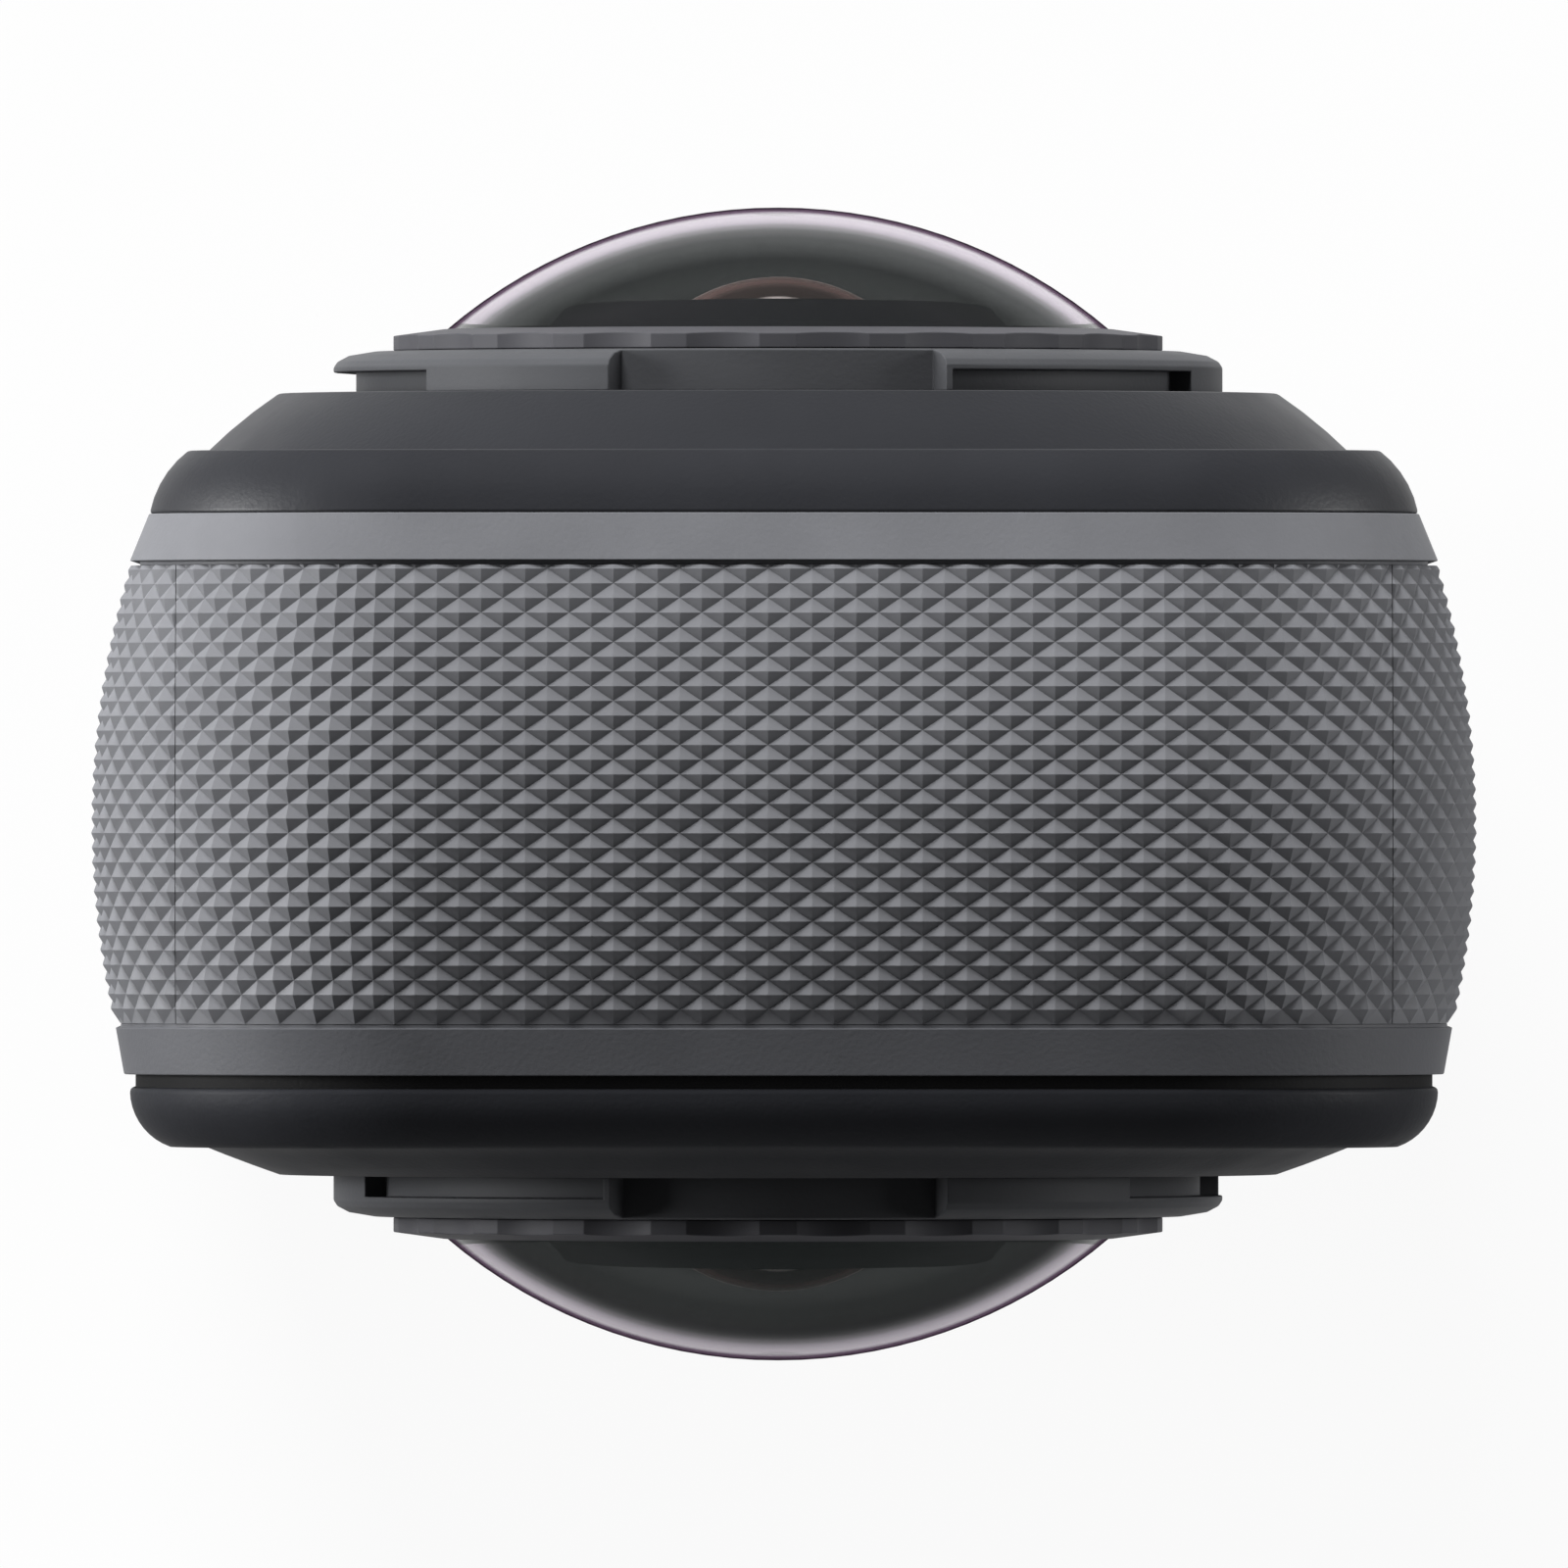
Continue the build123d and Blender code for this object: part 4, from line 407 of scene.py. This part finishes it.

# %% [markdown]
# ## Dome glass
# Seen from the side, a dome is not one grey. Its outermost line is dark: painted shade, a grey tint
# of the coat along the outline. Inside that lies a pale lavender band, a painted highlight in the
# glass's colour, and then a green grey shine, the coating's green mirror, that fades through
# painted shade to the black inside of the lens. The wall is real geometry, so the band sits where
# it should. The colours come from how far the surface turns away, and the far wall is tinted dark
# as painted shade. Lamps shine through the dome, so that the lens and the baffles inside catch
# their light.

# %% Colours by the turn of a surface
def add_ramp(tree, factor, stops):
    """Add a colour ramp from a list of places and linear colours, and return its colour."""
    node = tree.nodes.new("ShaderNodeValToRGB")
    ramp = node.color_ramp
    while len(ramp.elements) < len(stops):
        ramp.elements.new(0.5)
    for element, (place, colour) in zip(ramp.elements, stops):
        element.position = place
        element.color = (*colour, 1)
    tree.links.new(factor, node.inputs[0])
    return node.outputs["Color"]


def add_choice(tree, factor, first, second):
    """Mix two colours, each a socket or a list, and return the result."""
    node = tree.nodes.new("ShaderNodeMix")
    node.data_type = "RGBA"
    tree.links.new(factor, node.inputs["Factor"])
    for value, socket in ((first, node.inputs["A"]), (second, node.inputs["B"])):
        if isinstance(value, (list, tuple)):
            socket.default_value = (*value, 1)
        else:
            tree.links.new(value, socket)
    return node.outputs["Result"]


def facing(tree):
    """Put out 0 where a surface looks at the viewer and 1 where it is seen edge on."""
    node = tree.nodes.new("ShaderNodeLayerWeight")
    node.inputs["Blend"].default_value = 0.5
    return node.outputs["Facing"]


# %% Dome glass
GLASS_IOR = 1.52
FAR_WALL = 1.5  # rays that went through this many surfaces look at the far wall
SHADE_THROUGH = 0.85  # share of the lamps' light that the dome lets in
CLEAR = (1, 1, 1)
MIRROR_GREEN = (0.68, 0.88, 0.86, 1)  # the coating mirrors a little green
OUTLINE_FROM, OUTLINE_TO = 0.84, 0.88
OUTLINE_PAINTED_SHADE = (0.84, 0.81, 0.84, 1)

dome_glass = bpy.data.materials.new("dome_glass")
dome_glass.use_nodes = True
tree = dome_glass.node_tree
shader = tree.nodes["Principled BSDF"]
shader.inputs["Roughness"].default_value = 0
shader.inputs["IOR"].default_value = GLASS_IOR
shader.inputs["Transmission Weight"].default_value = 1
turned_away = facing(tree)
inside = tree.nodes.new("ShaderNodeNewGeometry").outputs["Backfacing"]
rays = tree.nodes.new("ShaderNodeLightPath")
far = add_math(tree.nodes, tree.links, "GREATER_THAN", rays.outputs["Transmission Depth"], FAR_WALL)
# painted highlight: a pale lavender band near the outline, with painted shade between it and the
# middle
near_wall_painted_light = add_ramp(tree, turned_away, [
    (0.480, (0.34, 0.35, 0.345)), (0.560, (0.06, 0.065, 0.065)), (0.660, (0.003, 0.003, 0.004)),
    (0.715, (0.010, 0.009, 0.011)), (0.742, (0.07, 0.058, 0.075)), (0.770, (0.36, 0.28, 0.39)),
    (0.795, (0.52, 0.40, 0.55))])
# painted shade: the far wall, seen through the near one, is tinted nearly black
far_wall_painted_shade = add_ramp(tree, turned_away, [
    (0.45, (0.001, 0.001, 0.001)), (0.60, (0.006, 0.007, 0.007)), (0.70, (0.008, 0.009, 0.009))])
entered = add_choice(tree, far, near_wall_painted_light, far_wall_painted_shade)
tree.links.new(add_choice(tree, inside, entered, CLEAR), shader.inputs["Base Color"])
shader.inputs["Specular Tint"].default_value = MIRROR_GREEN
# painted shade: the coat's grey tint darkens a thin line along the outline
edge = tree.nodes.new("ShaderNodeMapRange")
edge.inputs["From Min"].default_value = OUTLINE_FROM
edge.inputs["From Max"].default_value = OUTLINE_TO
tree.links.new(turned_away, edge.inputs["Value"])
tree.links.new(edge.outputs["Result"], shader.inputs["Coat Weight"])
shader.inputs["Coat IOR"].default_value = 1
shader.inputs["Coat Roughness"].default_value = 0
shader.inputs["Coat Tint"].default_value = OUTLINE_PAINTED_SHADE
shadow = add_math(tree.nodes, tree.links, "MULTIPLY", rays.outputs["Is Shadow Ray"], SHADE_THROUGH)
solid = add_math(tree.nodes, tree.links, "SUBTRACT", 1, shadow)
tree.links.new(solid, shader.inputs["Alpha"])
finishes["dome_glass"] = dome_glass
print("dome glass:", len(tree.nodes), "nodes")

# %% [markdown]
# ## The lens inside
# The front element behind the dome is coated glass over a black barrel: it looks a dull brown.
# A bright thin line at its rim and a second one where its middle meets the ring below are painted
# highlights in its colour, and it is painted lighter towards its outline. An opaque surface does
# this with less noise than glass inside glass, because nothing behind it shows. Its colours come
# from how far the surface turns away, as the lines follow its curve.

# %% Inner glass
finishes["inner_glass"] = add_finish("inner_glass", (70, 54, 51), 0.12, grain_depth=0.0002,
                                     specular=0.8)
tree = finishes["inner_glass"].node_tree
# painted highlights: two bright lines and a lighter band towards the outline, set in the colour by
# facing
brown_with_painted_highlights = add_ramp(tree, facing(tree), [
    (0.512, (0.05, 0.033, 0.030)), (0.522, (1.0, 0.92, 0.9)), (0.544, (0.9, 0.8, 0.78)),
    (0.556, (0.05, 0.033, 0.030)), (0.660, (0.06, 0.040, 0.037)), (0.780, (0.24, 0.15, 0.14)),
    (0.900, (0.30, 0.20, 0.185)), (0.960, (0.95, 0.78, 0.75))])
tree.links.new(brown_with_painted_highlights, tree.nodes["Principled BSDF"].inputs["Base Color"])
print("inner glass:", len(tree.nodes), "nodes")

# %% Dress every CAD piece
slot_of = {}
for name, node in frame["nodes"].items():
    for place in node.material_slots:
        slot_of[name] = place.material.name.split(".")[0]
        place.material = finishes[slot_of[name]]
print("CAD pieces dressed:", len(slot_of))

# %% [markdown]
# ## The knurled grip
# The grip is moulded with rows of small four-sided pyramids, each about 1.5 mm along the rim of
# the body and 1 mm across it, with every second row half a step along. A bump map would leave
# the outline smooth and would not catch the light as real facets do, and displacing a dense mesh
# would round the ridges off. So the pyramids are drawn as they are: a grid whose corners are in
# turn peaks and valleys, wrapped round the body's outline. Where it meets the seams, doors and
# buttons it is cut by the CAD solid of the same piece, so that every opening stays true.

# %% The outline that the grip follows
HALF_WIDTH = 23.0
HEIGHT = 124.5
TOP_CORNER = 10.8
FOOT_CORNER = 8.0
FOOT_CUT = 1.3


def outline_runs():
    """List the straight runs and corners of the outline: length, start, direction or centre."""
    top, side = HALF_WIDTH - TOP_CORNER, HEIGHT - TOP_CORNER
    foot, foot_z = HALF_WIDTH - FOOT_CORNER, FOOT_CORNER - FOOT_CUT
    quarter = math.pi / 2
    return [
        ("run", top, (0, HEIGHT), (1, 0)),
        ("corner", TOP_CORNER * quarter, (top, side), TOP_CORNER, 90),
        ("run", side - foot_z, (HALF_WIDTH, side), (0, -1)),
        ("corner", FOOT_CORNER * quarter, (foot, foot_z), FOOT_CORNER, 0),
        ("run", 2 * foot, (foot, -FOOT_CUT), (-1, 0)),
        ("corner", FOOT_CORNER * quarter, (-foot, foot_z), FOOT_CORNER, -90),
        ("run", side - foot_z, (-HALF_WIDTH, foot_z), (0, 1)),
        ("corner", TOP_CORNER * quarter, (-top, side), TOP_CORNER, 180),
        ("run", top, (-top, HEIGHT), (1, 0)),
    ]


RUNS = outline_runs()
ROUND = sum(run[1] for run in RUNS)
print("once round the outline:", round(ROUND, 2), "mm")


def outline_point(along):
    """Point of the outline in X and Z, and the direction that points out of the body there."""
    along %= ROUND
    for run in RUNS:
        if along <= run[1] or run is RUNS[-1]:
            break
        along -= run[1]
    if run[0] == "run":
        (x, z), (dx, dz) = run[2], run[3]
        return (x + dx * along, z + dz * along), (-dz, dx)
    (x, z), radius = run[2], run[3]
    turn = math.radians(run[4]) - along / radius
    normal = (math.cos(turn), math.sin(turn))
    return (x + radius * normal[0], z + radius * normal[1]), normal


# %% The barrel-shaped section across the grip
GRIP_FRONT = (21.73, 7.24)
GRIP_CROWN = (23.0, -1.3)
GRIP_BACK = (22.244, -7.92)


def circle_through(a, b, c):
    """Centre and radius of the circle through three points."""
    (ax, ay), (bx, by), (cx, cy) = a, b, c
    d = 2 * (ax * (by - cy) + bx * (cy - ay) + cx * (ay - by))
    ux = ((ax**2 + ay**2) * (by - cy) + (bx**2 + by**2) * (cy - ay) + (cx**2 + cy**2) * (ay - by)) / d
    uy = ((ax**2 + ay**2) * (cx - bx) + (bx**2 + by**2) * (ax - cx) + (cx**2 + cy**2) * (bx - ax)) / d
    return (ux, uy), math.hypot(ax - ux, ay - uy)


section_centre, section_radius = circle_through(GRIP_FRONT, GRIP_CROWN, GRIP_BACK)


def setback(y):
    """How far the grip's surface lies inside the widest line, at depth y."""
    reach = section_centre[0] + math.sqrt(section_radius**2 - (y - section_centre[1]) ** 2)
    return HALF_WIDTH - reach


print("section radius", round(section_radius, 2), "mm")

# %% The corners of the knurl
COLUMNS = 450  # half steps round the body
ROW_PITCH = 0.4846
FIRST_ROW = 7.10
ROW_COUNT = 34  # two rows run past each edge, for the CAD solid to cut off
KNURL_DEPTH = 0.22
TIP_SHARE = 0.12  # of a facet that is worn flat at its tip
TIP_ROUND = 0.4  # of the worn depth, at which the middle of a tip stands a little proud
SKIN = 0.02  # tips stay this far inside the CAD surface
RING_INSIDE = 3.4
KNURL_SHIFT = 0.2  # first peak to the right of the middle

knurl_step = ROUND / COLUMNS
top_row_y = FIRST_ROW + 2 * ROW_PITCH
last_row = ROW_COUNT - 1
worn_depth = TIP_SHARE * KNURL_DEPTH
WAYS = ((1, 0), (0, 1), (-1, 0), (0, -1))
points, valleys, tips, faces = [], {}, {}, []


def knurl_point(column, row, depth):
    """Add a point of the knurl, by its columns round and rows down, and return its number."""
    (x, z), (nx, nz) = outline_point(KNURL_SHIFT + column * knurl_step)
    y = top_row_y - row * ROW_PITCH
    inset = setback(y) + depth
    points.append((x - nx * inset, y, z - nz * inset))
    return len(points) - 1


for m in range(COLUMNS):
    for n in range(ROW_COUNT):
        if (m + n) % 2 or n in (0, last_row):
            valleys[m, n] = knurl_point(m, n, SKIN + KNURL_DEPTH)
            continue
        for dm, dn in WAYS:
            tips[m, n, dm, dn] = knurl_point(m + dm * TIP_SHARE, n + dn * TIP_SHARE, SKIN + worn_depth)
        middle = knurl_point(m, n, SKIN + worn_depth * TIP_ROUND)
        rim = [tips[m, n, dm, dn] for dm, dn in WAYS]
        for k in range(4):
            faces.append((rim[k], rim[(k + 1) % 4], middle))
print("knurl:", len(tips) // 4, "peaks,", len(valleys), "valleys")


# %% The facets between them
def cell_loop(m, n):
    """List a cell's corners in order. A peak stands there as two corners of its worn tip."""
    right = (m + 1) % COLUMNS
    loop = []
    for c, r, dm, dn in ((m, n, 1, 1), (right, n, -1, 1), (right, n + 1, -1, -1), (m, n + 1, 1, -1)):
        if (c, r) in valleys:
            loop.append(valleys[c, r])
        else:
            pair = [tips[c, r, 0, dn], tips[c, r, dm, 0]]
            loop.append(pair if dm == dn else pair[::-1])
    return loop


for m in range(COLUMNS):
    for n in range(last_row):
        loop = cell_loop(m, n)
        peaks = [i for i in range(4) if isinstance(loop[i], list)]
        if not peaks:
            faces.append(tuple(loop))
        for i in peaks:
            faces.append((loop[i - 1], *loop[i], loop[(i + 1) % 4]))
        if len(peaks) == 1:
            i = peaks[0]
            faces.append((loop[i - 1], loop[(i + 1) % 4], loop[(i + 2) % 4]))
print("facets:", len(faces))


# %% The ring closed on its inside
def add_mesh(name, points, faces):
    """Make an object from points in millimetres."""
    mesh = bpy.data.meshes.new(name)
    mesh.from_pydata([(x * MM, y * MM, z * MM) for x, y, z in points], [], faces)
    made = bpy.data.objects.new(name, mesh)
    bpy.context.scene.collection.objects.link(made)
    return made


inner = []
for m in range(COLUMNS):
    (x, z), (nx, nz) = outline_point(KNURL_SHIFT + m * knurl_step)
    inner.append([])
    for y in (top_row_y, top_row_y - last_row * ROW_PITCH):
        points.append((x - nx * RING_INSIDE, y, z - nz * RING_INSIDE))
        inner[-1].append(len(points) - 1)
for m in range(COLUMNS):
    right = (m + 1) % COLUMNS
    faces.append((valleys[m, 0], valleys[right, 0], inner[right][0], inner[m][0]))
    faces.append((valleys[right, last_row], valleys[m, last_row], inner[m][1], inner[right][1]))
    faces.append((inner[right][0], inner[right][1], inner[m][1], inner[m][0]))

ring = add_mesh("knurl ring", points, faces)
mesh = bmesh.new()
mesh.from_mesh(ring.data)
bmesh.ops.recalc_face_normals(mesh, faces=mesh.faces)
loose = [e for e in mesh.edges if not e.is_manifold]
if mesh.calc_volume(signed=True) < 0:
    bmesh.ops.reverse_faces(mesh, faces=mesh.faces)
mesh.to_mesh(ring.data)
mesh.free()
print("knurl ring:", len(faces), "faces,", len(loose), "open edges")

# %% [markdown]
# Where the grip has a seam, a door or a button, its edge has to stay where the CAD has it. So a
# closed copy of each CAD piece is cut with the ring, and only what lies in both is kept.

# %% Copies of CAD pieces
MERGE_GAP = 1e-7
SLIVER = 1e-8


def soften(piece, degrees):
    """Shade a mesh smooth, but keep edges sharper than this angle."""
    mesh = bmesh.new()
    mesh.from_mesh(piece.data)
    for face in mesh.faces:
        face.smooth = True
    for edge in mesh.edges:
        edge.smooth = len(edge.link_faces) == 2 and edge.calc_face_angle() < math.radians(degrees)
    mesh.to_mesh(piece.data)
    mesh.free()


def closed_copy(node_name, name):
    """Copy a CAD node as a closed mesh, without the split corners of its shading."""
    source = frame["nodes"][node_name]
    piece = bpy.data.objects.new(name, source.data.copy())
    bpy.context.scene.collection.objects.link(piece)
    mesh = bmesh.new()
    mesh.from_mesh(piece.data)
    bmesh.ops.remove_doubles(mesh, verts=mesh.verts, dist=MERGE_GAP)
    bmesh.ops.dissolve_degenerate(mesh, edges=mesh.edges, dist=SLIVER)
    mesh.to_mesh(piece.data)
    mesh.free()
    if "custom_normal" in piece.data.attributes:
        piece.data.attributes.remove(piece.data.attributes["custom_normal"])
    return piece


def apply_modifiers(piece):
    """Bake an object's modifiers into its mesh."""
    seen = bpy.context.evaluated_depsgraph_get()
    seen.update()
    baked = bpy.data.meshes.new_from_object(piece.evaluated_get(seen))
    piece.modifiers.clear()
    piece.data = baked


def cut_with(piece, tool, operation):
    """Cut a piece with another mesh, and bake the result."""
    cut = piece.modifiers.new("cut", "BOOLEAN")
    cut.operation = operation
    cut.solver = "EXACT"
    cut.object = tool
    apply_modifiers(piece)


# %% Cut the ring with each grip piece
SHARP_ANGLE = 20
SEAM_X = 20.1
SEAM_REACH = 0.045
SEAM_HALF_GAP = 0.012
SEAM_FOOT = 100  # the seams run above this height


def close_seam(piece):
    """Draw the walls of the seams at the top corners together, to the hairline they really are."""
    for v in piece.data.vertices:
        off = abs(v.co.x) / MM - SEAM_X
        if abs(off) < SEAM_REACH and v.co.z > SEAM_FOOT * MM:
            v.co.x = math.copysign(SEAM_X + math.copysign(SEAM_HALF_GAP, off), v.co.x) * MM


for node_name in ("grip_top", "grip_left", "grip_right", "battery_door", "usb_door"):
    piece = closed_copy(node_name, node_name + "_knurled")
    before = len(piece.data.polygons)
    cut_with(piece, ring, "INTERSECT")
    close_seam(piece)
    piece.data.materials.clear()
    piece.data.materials.append(finishes["grip_rubber"])
    soften(piece, SHARP_ANGLE)
    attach(piece, frame["nodes"][node_name]["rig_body"])
    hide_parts(node_name)
    print(node_name, before, "->", len(piece.data.polygons), "faces")
bpy.data.objects.remove(ring)

# %% [markdown]
# ## Softened edges
# Nothing moulded or turned has a perfectly sharp edge: the tool's corner leaves a small radius,
# and that radius is what catches a thin line of light. The CAD solids are drawn sharp. Here each
# visible one gets its radius as real geometry: its triangles are first joined back into whole
# faces, and then every edge sharper than a limit is bevelled.
#
# The seat of the front lens has a recess under its flange on the left. In the photograph the
# white behind it shows through at the very edge of the outline, so the recess goes on round the
# corner. The CAD solid ends it earlier. A part of a ring, as wide and high as the recess, cuts
# the rest of it away before the edges are rounded.

# %% The longer recess of the front seat
RECESS_START, RECESS_ARC, RECESS_STEPS = 249, 15, 6
RECESS_RADII = (14.1, 15.2)
RECESS_DEPTHS = (13.042, 13.74)


def ring_part(name, start, arc, inner, outer, foot, top):
    """Make a closed part of a ring round the lens axis, its angles in degrees from the top."""
    points, faces = [], []
    for n in range(RECESS_STEPS + 1):
        angle = math.radians(start + arc * n / RECESS_STEPS)
        for radius, depth in ((inner, foot), (outer, foot), (outer, top), (inner, top)):
            points.append((LENS_AXIS.x / MM + radius * math.sin(angle), depth,
                           LENS_AXIS.z / MM + radius * math.cos(angle)))
    for n in range(0, 4 * RECESS_STEPS, 4):
        for k in range(4):
            m = (k + 1) % 4
            faces.append((n + k, n + m, n + m + 4, n + k + 4))
    faces.append((0, 1, 2, 3))
    faces.append(tuple(range(len(points) - 1, len(points) - 5, -1)))
    return add_mesh(name, points, faces)


def widen_recess(piece):
    """Cut the left recess of the front seat further round than its solid has it."""
    cutter = ring_part("recess cutter", RECESS_START, RECESS_ARC, *RECESS_RADII, *RECESS_DEPTHS)
    before = len(piece.data.polygons)
    cut_with(piece, cutter, "DIFFERENCE")
    bpy.data.objects.remove(cutter)
    print("recess cut:", before, "->", len(piece.data.polygons), "faces")


# %% Rounded copies of the visible solids
EDGE_ANGLE = 24
EDGE_STEPS = 2
FLAT_ANGLE = 0.3  # triangles that meet at less are one face
ROUNDED = {
    "front_cover": 0.07, "rear_cover": 0.07, "front_trim_band": 0.04, "rear_trim_band": 0.04,
    "front_bayonet_seat": 0.05, "rear_bayonet_seat": 0.05,
    "front_lens_ring": 0.04, "rear_lens_ring": 0.04, "battery_latch": 0.05, "base_plate": 0.06,
    "screen_glass": 0.05, "tripod_insert": 0.06, "status_light": 0.04,
}


def round_edges(node_name, radius):
    """Replace a CAD node by a copy with rounded edges."""
    node = frame["nodes"][node_name]
    piece = closed_copy(node_name, node_name + "_rounded")
    if node_name == "front_bayonet_seat":
        widen_recess(piece)
    mesh = bmesh.new()
    mesh.from_mesh(piece.data)
    bmesh.ops.dissolve_limit(mesh, angle_limit=math.radians(FLAT_ANGLE), verts=mesh.verts,
                             edges=mesh.edges)
    mesh.to_mesh(piece.data)
    mesh.free()
    before = len(piece.data.polygons)
    edge = piece.modifiers.new("rounded edge", "BEVEL")
    edge.width = radius * MM
    edge.segments = EDGE_STEPS
    edge.limit_method = "ANGLE"
    edge.angle_limit = math.radians(EDGE_ANGLE)
    edge.use_clamp_overlap = False
    edge.harden_normals = True
    for face in piece.data.polygons:
        face.use_smooth = True
    apply_modifiers(piece)
    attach(piece, node["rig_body"])
    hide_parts(node_name)
    print(node_name, before, "->", len(piece.data.polygons), "faces")


for node_name, radius in ROUNDED.items():
    round_edges(node_name, radius)
